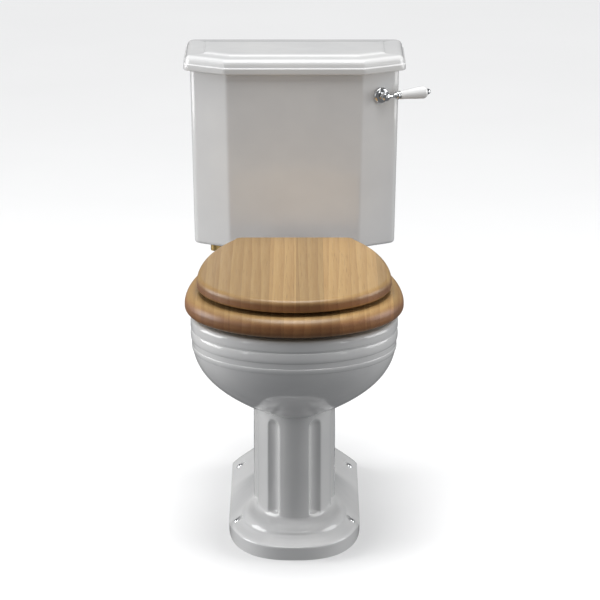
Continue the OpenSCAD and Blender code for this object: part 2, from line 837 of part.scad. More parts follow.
module lever_rosette() {
    color(chrome) lever_frame() translate([0, -touch_gap, 0]) rotate([90, 0, 0])
        rotate_extrude() polygon(concat(
            [[spindle_r + 0.5, 0], [15, 0], [15, 2]],
            [for (a = [0 : 15 : 75]) [9 + 6 * cos(a), 2 + 5 * sin(a)]],
            [[9, 7.5], [spindle_r + 0.5, 7.5]]
        ));
}

module lever_bush() {
    color(brass) lever_frame() difference() {
        along_spindle(cistern_wall + 14, -touch_gap, spindle_r + 3);
        along_spindle(cistern_wall + 20, 10, spindle_r + run_fit);
    }
}

module lever_bush_nut() {
    color(brass) lever_frame() translate([0, cistern_wall + 8 + touch_gap, 0]) rotate([90, 0, 0])
        hex_nut(24, spindle_r + 3, 0, 8);
}

module lever_spindle() {
    color(brass) lever_frame() along_spindle(spindle_in + 5, 21, spindle_r);
}

module lever_neck() {
    color(chrome) lever_frame() difference() {
        union() {
            translate([0, -8.5, 0]) rotate([90, 0, 0]) cylinder(r = 7.5, h = 13);
            translate([0, -21.5, 0]) rotate([90, 0, 0]) rotate_extrude() intersection() {
                translate([0, -7]) circle(r = 10.26);
                square([7.5, 4]);
            }
            turned([[0, 0], [5, 0], [5, 7], [3.6, 12], [3.4, 16], [4.6, 21], [core_r, 21],
                [core_r, grip_end + 4], [0, grip_end + 4]]);
        }
        along_spindle(0, 21, spindle_r);
    }
}

module lever_collar() {
    color(chrome) lever_frame() turned(concat(
        [[core_r, 21], [6, 21]],
        [for (a = [-60 : 20 : 60]) [4.6 + 3.4 * cos(a), 25 + 3.4 * sin(a)]],
        [[6.5, 28.6], [7.4, 29], [7.4, grip_start], [core_r, grip_start]]
    ));
}

module lever_grip() {
    color(china) lever_frame() turned(concat(
        [[core_r, grip_start], [7.2, grip_start]],
        [for (t = [0 : 0.125 : 1]) [8 + 3.7 * smooth(t * 0.9), lerp(grip_start + 1, grip_end - 7, t)]],
        [for (a = [15 : 15 : 75]) [4.7 + 6.9 * cos(a), grip_end - 7 + 7 * sin(a)]],
        [[4.7, grip_end], [core_r, grip_end]]
    ));
}

module lever_finial() {
    color(chrome) lever_frame() turned(concat(
        [[core_r, grip_end], [5.4, grip_end]],
        [for (a = [0 : 15 : 90]) [5.4 * cos(a), grip_end + 2.5 + (lever_len - grip_end - 2.5) * sin(a)]],
        [[0, grip_end + 4], [core_r, grip_end + 4]]
    ));
}

module inner_lever_arm() {
    color(brass) lever_frame() translate([0, spindle_in, 0]) difference() {
        union() {
            translate([0, 4, 0]) rotate([90, 0, 0]) cylinder(r = 9, h = 8);
            rotate([0, 180 - arm_swing, 0]) {
                translate([0, -1.5, -4]) cube([arm_r, 3, 8]);
                translate([arm_r, 1.5, 0]) rotate([90, 0, 0]) cylinder(r = 5, h = 3);
            }
        }
        translate([0, 10, 0]) rotate([90, 0, 0]) cylinder(r = spindle_r, h = 20);
        rotate([0, 180 - arm_swing, 0]) translate([arm_r, 5, 0]) rotate([90, 0, 0]) cylinder(r = 2, h = 10);
    }
}

module inner_arm_pin() {
    color(steel) lever_frame() translate([0, spindle_in, 0]) rotate([0, 180 - arm_swing, 0])
        translate([arm_r, 0, 0]) rotate([90, 0, 0]) {
            translate([0, 0, -7.5]) cylinder(r = 2, h = 11);
            translate([0, 0, 1.5]) cylinder(r = 3.5, h = 1.5);
            translate([0, 0, -8.5]) cylinder(r = 3.5, h = 1.5);
        }
}

// ---- siphon ----

rod_bottom = plate_z - 4;
lift_r = 3;
slot_half = (arm_r - arm_mean) + 0.5;

module at_lift() {
    translate([lift_x, lift_y, 0]) rotate([0, 0, chamfer_turn]) children();
}

// Inside or outside of the siphon: bell and rising tube, box crown and down tube
// The walls are drawn in by `wall`
module siphon_solid(wall, extra) {
    r = siphon_r - wall;
    bell = chamber_r - wall;
    side = siphon_r + 1 - wall;
    translate([lift_x, lift_y, 0]) rotate_extrude() polygon([
        [0, chamber_bottom - extra], [bell, chamber_bottom - extra], [bell, chamber_top],
        [r, chamber_top + 14], [r, crown_z + crown_h / 2], [0, crown_z + crown_h / 2]
    ]);
    translate([-side, lift_y - side, crown_z + wall]) cube([lift_x + 2 * side, 2 * side, crown_h - 2 * wall]);
    translate([0, lift_y, shelf_z - 14 - extra])
        cylinder(r = r, h = crown_z + crown_h / 2 + 14 - shelf_z + extra);
}

module siphon_body() {
    guide_start = crown_z + crown_h - 2;
    color(plastic) difference() {
        union() {
            siphon_solid(0, 0);
            translate([0, lift_y, floor_z + 2]) cylinder(r = siphon_r + 8, h = 4);
            translate([lift_x, lift_y, guide_start]) cylinder(r = 6, h = guide_top - guide_start);
        }
        siphon_solid(2.5, 1);
        translate([lift_x, lift_y, crown_z]) cylinder(r = lift_r + 0.3, h = guide_top - crown_z + 1);
    }
}

module siphon_washer() {
    color(rubber) translate([0, lift_y, 0]) tube(siphon_r + 8, siphon_r, floor_z, floor_z + 2);
}

module siphon_back_nut() {
    color(plastic) translate([0, lift_y, 0]) hex_nut(2 * siphon_r + 16, siphon_r, cistern_z - 9, 9);
}

module lift_link() {
    color(brass) at_lift() difference() {
        union() {
            translate([-6, -5, link_z - 22]) cube([12, 10.5, 10]);
            translate([-slot_half - 5, 2.5, link_z - 22]) cube([2 * slot_half + 10, 3, 30]);
        }
        translate([0, 0, link_z - 30]) cylinder(r = lift_r, h = 18);
        for (s = [-1, 1]) {
            translate([s * slot_half, 10, link_z]) rotate([90, 0, 0]) cylinder(r = 2.3, h = 12);
        }
        translate([-slot_half, -2, link_z - 2.3]) cube([2 * slot_half, 12, 4.6]);
    }
}

module lift_rod() {
    color(brass) at_lift() translate([0, 0, rod_bottom]) cylinder(r = lift_r, h = link_z - 12 - rod_bottom);
}

module lift_plate() {
    color(plastic) at_lift() difference() {
        translate([0, 0, plate_z]) cylinder(r = chamber_r - 6, h = 3);
        translate([0, 0, plate_z - 1]) cylinder(r = lift_r, h = 5);
        for (a = [0 : 45 : 315]) {
            rotate([0, 0, a]) translate([chamber_r * 0.55, 0, plate_z - 1]) cylinder(r = 5.5, h = 5);
        }
    }
}

module siphon_diaphragm() {
    color(rubber) at_lift() tube(chamber_r - 4, lift_r, plate_z + 3, plate_z + 4.2);
}

// ---- float valve ----

head_right = pivot_x - 10;
piston_r = 6;

module at_valve() {
    translate([-valve_x, valve_y, 0]) children();
}

// Piece along Y, centred on the valve, at a point x, z
module cross_bar(x, z, r, half) {
    translate([x, valve_y + half, z]) rotate([90, 0, 0]) cylinder(r = r, h = 2 * half);
}

module valve_tail() {
    color(brass) at_valve() difference() {
        union() {
            translate([0, 0, cistern_z - 28]) cylinder(r = tail_r, h = base_t + 32);
            translate([0, 0, floor_z + 2]) cylinder(r = tail_r + 6.5, h = 4);
            translate([0, 0, floor_z + 5]) cylinder(r = 9, h = pivot_z - 10 - floor_z - 5);
        }
        translate([0, 0, cistern_z - 29]) cylinder(r = 6, h = pivot_z - cistern_z + 15);
        tube(tail_r + 1, tail_r - 0.8, cistern_z - 10.5, cistern_z - 9.5);
    }
}

module valve_washer() {
    color(rubber) at_valve() tube(tail_r + 6.5, tail_r, floor_z, floor_z + 2);
}

module valve_back_nut() {
    color(brass) at_valve() hex_nut(34, tail_r, cistern_z - 9, 9);
}

module valve_head() {
    color(brass) difference() {
        union() {
            translate([-valve_x - 17, valve_y - 13, pivot_z - 10]) cube([head_right + valve_x + 17, 26, 34]);
            for (s = [-1, 1]) {
                translate([head_right - 1, valve_y + s * 10 - 2, pivot_z - 6]) cube([11, 4, 12]);
                translate([0, s * 10, 0]) cross_bar(pivot_x, pivot_z, 6, 2);
            }
        }
        cross_bar(pivot_x, pivot_z, 2.5, 20);
        translate([-valve_x - 5, valve_y, pivot_z + nose_r]) rotate([0, 90, 0])
            cylinder(r = piston_r + run_fit, h = head_right + valve_x + 6);
        translate([-valve_x, valve_y, pivot_z - 11]) cylinder(r = 6, h = nose_r + 8);
    }
}

module valve_piston() {
    color(plastic) translate([-valve_x - 1, valve_y, pivot_z + nose_r]) rotate([0, 90, 0])
        cylinder(r = piston_r, h = pivot_x - 2.5 - touch_gap + valve_x + 1);
}

module valve_pivot_pin() {
    color(steel) cross_bar(pivot_x, pivot_z, 2.5, 14);
}

module float_arm() {
    color(brass) difference() {
        union() {
            cross_bar(pivot_x, pivot_z, 5.5, 7);
            translate([pivot_x + 0.5, valve_y - 3, pivot_z]) cube([3, 6, nose_r]);
            cross_bar(pivot_x, pivot_z + nose_r, 2.5, 3);
            bar([pivot_x + 3, valve_y, pivot_z], [pivot_x + float_dx + 8, valve_y, pivot_z], 2.5);
        }
        cross_bar(pivot_x, pivot_z, 2.5 + run_fit, 20);
    }
}

module float() {
    color(plastic) translate([pivot_x + float_dx, valve_y, 0]) difference() {
        union() {
            translate([0, 0, pivot_z - 6 - float_h]) rotate_extrude() polygon(concat(
                [[0, 0], [float_r - 8, 0]],
                [for (a = [-75 : 15 : 75]) [
                    float_r - 8 + 8 * cos(a),
                    float_h / 2 + sign(a) * (float_h / 2 - 8) + 8 * sin(a)
                ]],
                [[float_r - 8, float_h], [0, float_h]]
            ));
            translate([0, 0, pivot_z - 7]) cylinder(r = 5, h = 12);
        }
        translate([-20, 0, pivot_z]) rotate([0, 90, 0]) cylinder(r = 2.5, h = 40);
    }
}

module blanking_plug() {
    color(plastic) translate([valve_x, valve_y, 0]) {
        translate([0, 0, floor_z]) cylinder(r = tail_r + 5, h = 4);
        translate([0, 0, cistern_z - 12]) cylinder(r = tail_r, h = base_t + 13);
    }
}

module blanking_nut() {
    color(plastic) translate([valve_x, valve_y, 0]) hex_nut(32, tail_r, cistern_z - 8, 8);
}

pan();
floor_screw_cups();
floor_screw_caps();
cistern();
cistern_lid();
doughnut_washer();
coupling_bolts();
coupling_top_washers();
coupling_lower_washers();
coupling_wing_nuts();
seat_ring();
seat_lid();
ring_buffers();
lid_buffers();
hinge_pillars();
hinge_seals();
hinge_rod();
hinge_rod_caps();
hinge_studs();
hinge_stud_washers();
hinge_wing_nuts();
ring_hinge_leaves();
lid_hinge_leaves();
ring_hinge_screws();
lid_hinge_screws();
lever_rosette();
lever_bush();
lever_bush_nut();
lever_spindle();
lever_neck();
lever_collar();
lever_grip();
lever_finial();
inner_lever_arm();
inner_arm_pin();
siphon_body();
siphon_washer();
siphon_back_nut();
lift_link();
lift_rod();
lift_plate();
siphon_diaphragm();
valve_tail();
valve_head();
valve_washer();
valve_back_nut();
valve_piston();
valve_pivot_pin();
float_arm();
float();
blanking_plug();
blanking_nut();
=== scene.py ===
import json
import math

import bpy
import numpy as np
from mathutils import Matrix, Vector


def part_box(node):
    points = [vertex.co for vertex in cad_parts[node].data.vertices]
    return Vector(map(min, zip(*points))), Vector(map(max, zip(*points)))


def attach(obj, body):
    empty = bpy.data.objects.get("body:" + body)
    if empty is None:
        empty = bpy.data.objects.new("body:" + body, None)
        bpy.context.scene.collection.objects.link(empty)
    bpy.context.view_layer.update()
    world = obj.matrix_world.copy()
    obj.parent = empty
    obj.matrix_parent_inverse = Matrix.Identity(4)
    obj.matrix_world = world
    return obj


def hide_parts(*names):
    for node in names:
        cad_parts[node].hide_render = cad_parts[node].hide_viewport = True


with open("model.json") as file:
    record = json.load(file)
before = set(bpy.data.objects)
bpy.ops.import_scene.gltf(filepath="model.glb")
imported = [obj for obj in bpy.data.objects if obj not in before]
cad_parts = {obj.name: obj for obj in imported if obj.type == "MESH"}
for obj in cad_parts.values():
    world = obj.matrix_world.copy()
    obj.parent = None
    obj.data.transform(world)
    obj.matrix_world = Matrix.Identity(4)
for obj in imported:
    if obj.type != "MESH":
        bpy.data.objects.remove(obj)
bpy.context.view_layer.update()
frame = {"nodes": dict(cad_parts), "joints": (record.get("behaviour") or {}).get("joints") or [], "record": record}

bl_info = {
    "name": "Close Coupled Toilet",
    "version": (1, 0, 0),
    "blender": (4, 5, 0),
    "location": "View3D > Sidebar > Toilet",
    "description": "Builds the glazed pan, cistern, oak seat and lever of a close coupled toilet",
    "category": "Add Mesh",
}

MM = 0.001
TAU = 2 * math.pi
PAN_LOW, PAN_HIGH = (np.array(c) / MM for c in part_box("pan"))
TANK_LOW, TANK_HIGH = (np.array(c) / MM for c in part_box("cistern"))
LID_HIGH = np.array(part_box("cistern_lid")[1]) / MM
RING_LOW, RING_HIGH = (np.array(c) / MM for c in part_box("seat_ring"))
COVER_LOW, COVER_HIGH = (np.array(c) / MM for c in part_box("seat_lid"))
JOINTS = {j["name"]: j for j in frame["joints"]}
HINGE = np.array(JOINTS["seat_hinge"]["pos_m"]) / MM
LEVER = np.array(JOINTS["flush_lever"]["pos_m"]) / MM
LEVER_TURN = math.atan2(-JOINTS["flush_lever"]["axis"][0], JOINTS["flush_lever"]["axis"][1])
SLOT_OF = {s["node"]: s["material_slot"] for s in frame["record"]["subparts"]}
RIM_Z = float(RING_LOW[2]) - 8
RADIAL_Y = -60.0  # depth of the centre that the bowl's inner rings are turned about


def size(label, about, default):
    """A length property in metres from a default in millimetres."""
    return bpy.props.FloatProperty(
        name=label, description=about, default=default * MM, min=0.0, precision=4, unit="LENGTH"
    )


def colour(label, about, default):
    """A colour property."""
    return bpy.props.FloatVectorProperty(
        name=label, description=about, default=default, size=3, min=0.0, max=1.0, subtype="COLOR"
    )


class ToiletSizes(bpy.types.PropertyGroup):
    """Sizes that shape the ceramic and the seat"""

    foot_width: size("Foot width", "Width of the foot on the floor", 234)
    column_width: size("Column width", "Width of the fluted column", 145)
    column_height: size("Column height", "Height where the bowl springs from the column", 237)
    plinth_height: size("Plinth height", "Height of the foot's upright plinth", 21)
    flute_radius: size("Flute radius", "Radius of one flute of the column", 17)
    flute_depth: size("Flute depth", "Depth of one flute", 7)
    rim_height: size("Rim height", "Height of the rim above the floor", RIM_Z)
    chamfer_width: size("Chamfer width", "Width of a cistern corner's cut, across", 66)
    chamfer_depth: size("Chamfer depth", "Depth of a cistern corner's cut", 37)
    tank_taper: size("Cistern taper", "How much narrower the cistern is at its foot", 13)
    lid_overhang: size("Lid overhang", "How far the lid stands out past the cistern", 12)
    stave_width: size("Stave width", "Width of one oak stave of the seat", 47)


class ToiletColours(bpy.types.PropertyGroup):
    """Colours of the finishes"""

    china: colour("China", "Glazed ceramic", (0.82, 0.82, 0.82))
    oak_light: colour("Oak, light", "Lighter wood between the grain lines", (0.46, 0.295, 0.122))
    oak_dark: colour("Oak, dark", "Darker grain of the wood", (0.28, 0.145, 0.050))
    chrome: colour("Chrome", "Bright plated metal", (0.78, 0.79, 0.80))
    brass: colour("Brass", "Inside fittings", (0.62, 0.43, 0.17))
    steel: colour("Steel", "Studs and washers", (0.50, 0.51, 0.52))
    rubber: colour("Rubber", "Washers and buffers", (0.03, 0.03, 0.032))
    plastic: colour("Plastic", "Siphon, float and nuts", (0.74, 0.74, 0.70))
    floor: colour("Floor", "The pale floor", (0.93, 0.93, 0.93))


# ---- curves ----


def smooth(u):
    """Ease from 0 to 1: three squares less two cubes."""
    t = np.clip(u, 0, 1)
    return t * t * (3 - 2 * t)


def mix(a, b, t):
    """Straight blend of a and b by the share t."""
    return a + (b - a) * t


def eased(keys, n):
    """n points along a smooth curve through the key points: each stretch is a cubic, and its slope at a key
    is half the step between the keys on either side."""
    keys = np.asarray(keys, float)
    slope = np.gradient(keys, axis=0)
    at = np.linspace(0, len(keys) - 1, n)
    i = np.minimum(at.astype(int), len(keys) - 2)
    t = (at - i)[:, None]
    a, b, p, q = keys[i], keys[i + 1], slope[i], slope[i + 1]
    leaving = a * (1 + 2 * t) * (1 - t) ** 2 + p * t * (1 - t) ** 2
    return leaving + b * t * t * (3 - 2 * t) + q * t * t * (t - 1)


def arc(cx, cy, rx, ry, start, stop, n):
    """n points of an ellipse's arc about (cx, cy), angles in degrees."""
    a = np.radians(np.linspace(start, stop, n))
    return np.stack([cx + rx * np.cos(a), cy + ry * np.sin(a)], 1)


# Places along half an outline: 0 to 12 its front quarter, to 18 its side, to 22 its rear corner,
# to 24 its flat back
HALF = np.concatenate(
    [
        np.linspace(0, 12, 97),
        np.linspace(12, 18, 25)[1:],
        np.linspace(18, 22, 9)[1:],
        np.linspace(22, 24, 4)[1:],
    ]
)


def outline(o, b=0.0, s=HALF):
    """Plan of a bowl-like ring: a superelliptic front, an elliptic side down to a straight rear, a round
    corner and a flat back. o holds front, widest, back, half width, rear half width, taper, corner radius
    and roundness; b is an outward offset."""
    front, widest, back, half, rear, taper, corner, power = o
    front, back, half, rear, taper = front - b, back + b, half + b, rear + b, taper + b

    def side(y):
        return np.maximum(rear, half * np.sqrt(np.clip(1 - ((y - widest) / taper) ** 2, 0, None)))

    inner = side(back - corner) - corner
    a, c = np.radians(7.5 * np.clip(s, 0, 12)), np.radians(22.5 * np.clip(s - 18, 0, 4))
    along = mix(widest, back - corner, np.clip((s - 12) / 6, 0, 1))
    nose = widest - (widest - front) * np.clip(np.cos(a), 0, 1) ** (2 / power)
    x = np.select(
        [s <= 12, s <= 18, s <= 22],
        [half * np.sin(a) ** (2 / power), side(along), inner + corner * np.cos(c)],
        inner * np.clip(1 - (s - 22) / 2, 0, 1),
    )
    y = np.select(
        [s <= 12, s <= 18, s <= 22],
        [nose, along, back - corner + corner * np.sin(c)],
        back,
    )
    right = np.stack([x, y], 1)
    return np.concatenate([right, right[-2:0:-1] * [-1, 1]])


def bearing(p):
    """Angle of plan points about the bowl's centre, from the front, anticlockwise."""
    return np.arctan2(p[:, 0], RADIAL_Y - p[:, 1])


def outline_at(o, b, angles):
    """The same outline, with its points on given bearings."""
    dense = outline(o, b, np.linspace(0, 24, 1201))
    return turned_to(dense, angles)


def turned_to(dense, angles):
    """Points of a closed plan curve on given bearings, by interpolating its radius."""
    turn = np.unwrap(bearing(dense))
    reach = np.hypot(dense[:, 0], dense[:, 1] - RADIAL_Y)
    order = np.argsort(turn % TAU)
    r = np.interp(angles % TAU, (turn % TAU)[order], reach[order], period=TAU)
    return np.stack([r * np.sin(angles), RADIAL_Y - r * np.cos(angles)], 1)


def at_height(plan, z):
    """Plan points lifted to a height, one number or one a point."""
    return np.column_stack([plan, np.broadcast_to(z, len(plan))])


# ---- closed skins ----


def skin(rings, loop=False, foot=None, top=None):
    """Closed surface through rings of equal length: each end closes on a pole, or the last ring joins the
    first. A negative volume turns all the faces over, so they point outwards."""
    rings = np.asarray(rings, float)
    k, n = rings.shape[:2]
    index = np.arange(k * n).reshape(k, n)
    low, high = (index, np.roll(index, -1, 0)) if loop else (index[:-1], index[1:])
    quads = np.stack([low, np.roll(low, -1, 1), np.roll(high, -1, 1), high], -1).reshape(-1, 4)
    points, tris = rings.reshape(-1, 3), np.zeros((0, 3), int)
    if not loop:
        foot = rings[0].mean(0) if foot is None else foot
        top = rings[-1].mean(0) if top is None else top
        points = np.vstack([points, foot, top])
        first, last = index[0], index[-1]
        tris = np.vstack(
            [
                np.stack([np.roll(first, -1), first, np.full(n, k * n)], 1),
                np.stack([last, np.roll(last, -1), np.full(n, k * n + 1)], 1),
            ]
        )
    a, b, c, d = (points[quads[:, i]] for i in range(4))
    volume = np.einsum("ij,ij->", a, np.cross(b, c) + np.cross(c, d))
    e, f, g = (points[tris[:, i]] for i in range(3))
    volume += np.einsum("ij,ij->", e, np.cross(f, g))
    if volume < 0:
        quads, tris = quads[:, ::-1], tris[:, ::-1]
    return points, quads, tris


def lathe(profile, origin, axis, n=48, loop=False):
    """Surface turned about an axis: profile rows are radius and distance along the axis; a radius of 0 at
    an end is its pole."""
    profile = np.asarray(profile, float)
    axis = np.asarray(axis, float) / np.linalg.norm(axis)
    side = np.cross(axis, [0, 0, 1.0] if abs(axis[2]) < 0.9 else [1.0, 0, 0])
    side /= np.linalg.norm(side)
    up = np.cross(axis, side)
    ends = [None, None]
    if not loop and profile[0, 0] == 0:
        ends[0], profile = origin + axis * profile[0, 1], profile[1:]
    if not loop and profile[-1, 0] == 0:
        ends[1], profile = origin + axis * profile[-1, 1], profile[:-1]
    a = np.linspace(0, TAU, n, endpoint=False)
    round_ = np.cos(a)[:, None] * side + np.sin(a)[:, None] * up
    rings = origin + profile[:, 1, None, None] * axis + profile[:, 0, None, None] * round_
    return skin(rings, loop, *ends)


def bar(p, q, r, n=48):
    """Plain round bar from p to q, for cutting."""
    p, q = np.asarray(p, float), np.asarray(q, float)
    return lathe([[r, 0], [r, np.linalg.norm(q - p)]], p, q - p, n)


def block(low, high):
    """Plain box, for cutting."""
    (x0, y0, z0), (x1, y1, z1) = low, high
    plan = np.array([[x0, y0], [x1, y0], [x1, y1], [x0, y1]], float)
    return skin([at_height(plan, z0), at_height(plan, z1)])


def mesh_of(name, shells):
    """One mesh from closed skins given in millimetres."""
    points, loops, sizes, base = [], [], [], 0
    for p, quads, tris in shells:
        points.append(p * MM)
        for faces in (quads, tris):
            loops.append((faces + base).ravel())
            sizes.append(np.full(len(faces), faces.shape[1]))
        base += len(p)
    points, loops, sizes = np.concatenate(points), np.concatenate(loops), np.concatenate(sizes)
    mesh = bpy.data.meshes.new(name)
    mesh.vertices.add(len(points))
    mesh.vertices.foreach_set("co", points.astype(np.float32).ravel())
    mesh.loops.add(len(loops))
    mesh.loops.foreach_set("vertex_index", loops.astype(np.int32))
    mesh.polygons.add(len(sizes))
    mesh.polygons.foreach_set("loop_start", np.concatenate([[0], np.cumsum(sizes)[:-1]]).astype(np.int32))
    mesh.update(calc_edges=True)
    if mesh.validate():
        raise RuntimeError(f"{name}: the mesh had faults")
    return mesh


def carve(obj, shells):
    """Cuts closed skins out of a piece with an exact boolean and keeps the result as its mesh."""
    tool = bpy.data.objects.new("cutter", mesh_of("cutter", shells))
    bpy.context.scene.collection.objects.link(tool)
    cut = obj.modifiers.new("cut", "BOOLEAN")
    cut.operation, cut.solver, cut.object = "DIFFERENCE", "EXACT", tool
    done = bpy.data.meshes.new_from_object(obj.evaluated_get(bpy.context.evaluated_depsgraph_get()))
    obj.modifiers.clear()
    old, obj.data = obj.data, done
    bpy.data.meshes.remove(old)
    bpy.data.objects.remove(tool)


def piece(name, shells, material, body, replaces, cuts=(), crease=32):
    """Makes one finished piece: its mesh, cuts, shading, material, body and the CAD nodes it stands for."""
    obj = bpy.data.objects.new(name, mesh_of(name, shells))
    bpy.context.scene.collection.objects.link(obj)
    for shells_out in cuts:
        carve(obj, shells_out)
    obj.data.name = name
    obj.data.shade_smooth()
    obj.data.set_sharp_from_angle(angle=math.radians(crease))
    obj.data.materials.clear()
    obj.data.materials.append(material)
    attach(obj, body)
    if replaces:
        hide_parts(*replaces)
    return obj


# ---- finishes ----


class Shader:
    """A material's node tree, with short calls to add and join nodes."""

    def __init__(self, name):
        self.material = bpy.data.materials.new(name)
        self.material.use_nodes = True
        self.tree = self.material.node_tree
        self.bsdf = self.tree.nodes["Principled BSDF"]
        self.place = self.add("ShaderNodeTexCoord").outputs["Object"]

    def add(self, kind, settings=None, **inputs):
        node = self.tree.nodes.new(kind)
        for key, value in (settings or {}).items():
            setattr(node, key, value)
        for key, value in inputs.items():
            numbered = key[0] == "i" and key[1:].isdigit()
            self.put(node.inputs[int(key[1:]) if numbered else key.replace("_", " ")], value)
        return node

    def put(self, socket, value):
        if isinstance(value, bpy.types.NodeSocket):
            self.tree.links.new(value, socket)
        else:
            socket.default_value = value

    def finish(self, **inputs):
        for key, value in inputs.items():
            self.put(self.bsdf.inputs[key.replace("_", " ")], value)
        return self.material

    def stretch(self, x, y, z):
        return self.add("ShaderNodeMapping", Vector=self.place, Scale=(x, y, z)).outputs[0]

    def noise(self, scale, detail=4.0, place=None, rough=0.5):
        place = place or self.place
        noise = self.add("ShaderNodeTexNoise", Vector=place, Scale=scale, Detail=detail, Roughness=rough)
        return noise.outputs[0]

    def ramp(self, value, *stops):
        node = self.add("ShaderNodeValToRGB", Fac=value)
        points = node.color_ramp.elements
        while len(points) < len(stops):
            points.new(0.5)
        for point, (at, grey) in zip(points, stops):
            point.position, point.color = at, (grey, grey, grey, 1)
        return node.outputs[0]

    def math(self, operation, a, b=0.0, c=0.0):
        return self.add("ShaderNodeMath", {"operation": operation}, i0=a, i1=b, i2=c).outputs[0]

    def map(self, value, low, high, to_low, to_high):
        ends = {"From_Min": low, "From_Max": high, "To_Min": to_low, "To_Max": to_high}
        return self.add("ShaderNodeMapRange", Value=value, **ends).outputs[0]

    def blend(self, share, a, b, mode="MIX"):
        node = self.tree.nodes.new("ShaderNodeMix")
        node.data_type, node.blend_type = "RGBA", mode
        for socket, value in zip((node.inputs[0], node.inputs[6], node.inputs[7]), (share, a, b)):
            self.put(socket, value)
        return node.outputs[2]

    def bump(self, height, distance, strength=1.0, after=None):
        node = self.add("ShaderNodeBump", Height=height, Distance=distance, Strength=strength)
        if after is not None:
            self.put(node.inputs["Normal"], after)
        return node.outputs[0]


def tint(c, f=1.0):
    """A colour made lighter or darker, with its alpha."""
    return (*(min(1.0, v * f) for v in c), 1.0)


def china_finish(name, c):
    """Glazed ceramic: nearly even white, with faint clouds and pinholes in the glaze, a slow ripple and
    fine orange peel in its surface."""
    s = Shader(name)
    clouds = s.noise(9.0, 3.0)
    warm = (c[0], c[1] * 0.998, c[2] * 0.99)
    base = s.blend(s.map(clouds, 0.35, 0.65, 0.0, 1.0), tint(c, 0.965), tint(warm, 1.03))
    specks = s.add("ShaderNodeTexVoronoi", {"feature": "F1"}, Vector=s.place, Scale=140.0).outputs["Distance"]
    base = s.blend(s.ramp(specks, (0.0, 0.10), (0.045, 0.0)), base, tint(c, 0.62))
    ripple = s.bump(s.noise(26.0, 1.5), 0.0006, 0.5)
    return s.finish(
        Base_Color=base,
        Roughness=s.map(s.noise(60.0, 2.0), 0.3, 0.7, 0.07, 0.13),
        IOR=1.52,
        Coat_Weight=0.35,
        Coat_Roughness=0.03,
        Normal=s.bump(s.noise(420.0, 1.0), 0.00006, 0.35, ripple),
    )


# Darker tint multiplied into the oak's turned edges: painted shade on the sides that turn from the light
EDGE_SHADE_TINT = (0.72, 0.50, 0.42, 1.0)


def oak_finish(name, colours, stave, shift, under, top):
    """Varnished oak staves that run front to back: each stave has its own tone and figure, with stretched
    grain, dark pores and fine joint lines; painted shade darkens the turned edges between the heights
    under and top, and leaves the flat top light."""
    s = Shader(name)
    across, _, up = s.add("ShaderNodeSeparateXYZ", Vector=s.place).outputs
    cell = s.math("ADD", s.math("DIVIDE", across, stave), shift)
    number = s.math("FLOOR", cell)
    chance = s.add("ShaderNodeTexWhiteNoise", {"noise_dimensions": "1D"}, W=number).outputs[0]
    aside, along = s.math("MULTIPLY", chance, 0.7), s.math("MULTIPLY", chance, 3.1)
    offset = s.add("ShaderNodeCombineXYZ", X=aside, Y=along, Z=chance).outputs[0]
    place = s.add("ShaderNodeVectorMath", {"operation": "ADD"}, i0=s.place, i1=offset).outputs[0]

    def stretched(x, y, z):
        return s.add("ShaderNodeMapping", Vector=place, Scale=(x, y, z)).outputs[0]

    bend = s.noise(1.0, 2.0, stretched(5.0, 1.3, 5.0))
    rings = s.add(
        "ShaderNodeTexWave",
        {"wave_type": "BANDS", "bands_direction": "X", "wave_profile": "SAW"},
        Vector=stretched(1.0, 0.06, 0.5),
        Scale=17.0,
        Distortion=s.math("MULTIPLY", bend, 9.0),
        Detail=3.0,
        Detail_Scale=0.9,
    ).outputs["Fac"]
    fine = s.noise(1.0, 6.0, stretched(150.0, 4.0, 90.0), 0.62)
    grain = s.math("ADD", s.math("MULTIPLY", rings, 0.42), s.math("MULTIPLY", fine, 0.62))
    light, dark = tint(colours.oak_light), tint(colours.oak_dark)
    base = s.blend(s.map(grain, 0.30, 0.86, 0.0, 0.62), light, dark)
    base = s.blend(1.0, base, s.ramp(chance, (0.0, 0.80), (1.0, 1.14)), "MULTIPLY")
    pores = s.noise(1.0, 2.0, stretched(760.0, 15.0, 500.0), 0.5)
    pore = s.map(pores, 0.60, 0.72, 0.0, 1.0)
    base = s.blend(s.math("MULTIPLY", pore, 0.42), base, tint(colours.oak_dark, 0.55))
    # Painted shade: the turned sides below the flat top are multiplied by a darker tint, the flat top stays light
    below, above = s.map(up, top - 0.011, top - 0.001, 1.0, 0.0), s.map(up, under, under + 0.005, 0.15, 1.0)
    edge = s.math("MULTIPLY", below, above)
    base = s.blend(edge, base, s.blend(1.0, base, EDGE_SHADE_TINT, "MULTIPLY"))
    seam = s.math("ABSOLUTE", s.math("SUBTRACT", s.math("FRACT", cell), 0.5))
    joint = s.map(seam, 0.4905, 0.5, 0.0, 1.0)
    base = s.blend(s.math("MULTIPLY", joint, 0.45), base, tint(colours.oak_dark, 0.5))
    sunk = s.math("ADD", s.math("MULTIPLY", pore, 0.5), joint)
    relief = s.math("SUBTRACT", s.math("MULTIPLY", fine, 0.35), sunk)
    return s.finish(
        Base_Color=base,
        Roughness=s.map(fine, 0.3, 0.7, 0.36, 0.50),
        IOR=1.5,
        Coat_Weight=0.18,
        Coat_Roughness=0.22,
        Normal=s.bump(relief, 0.00012, 0.45),
    )


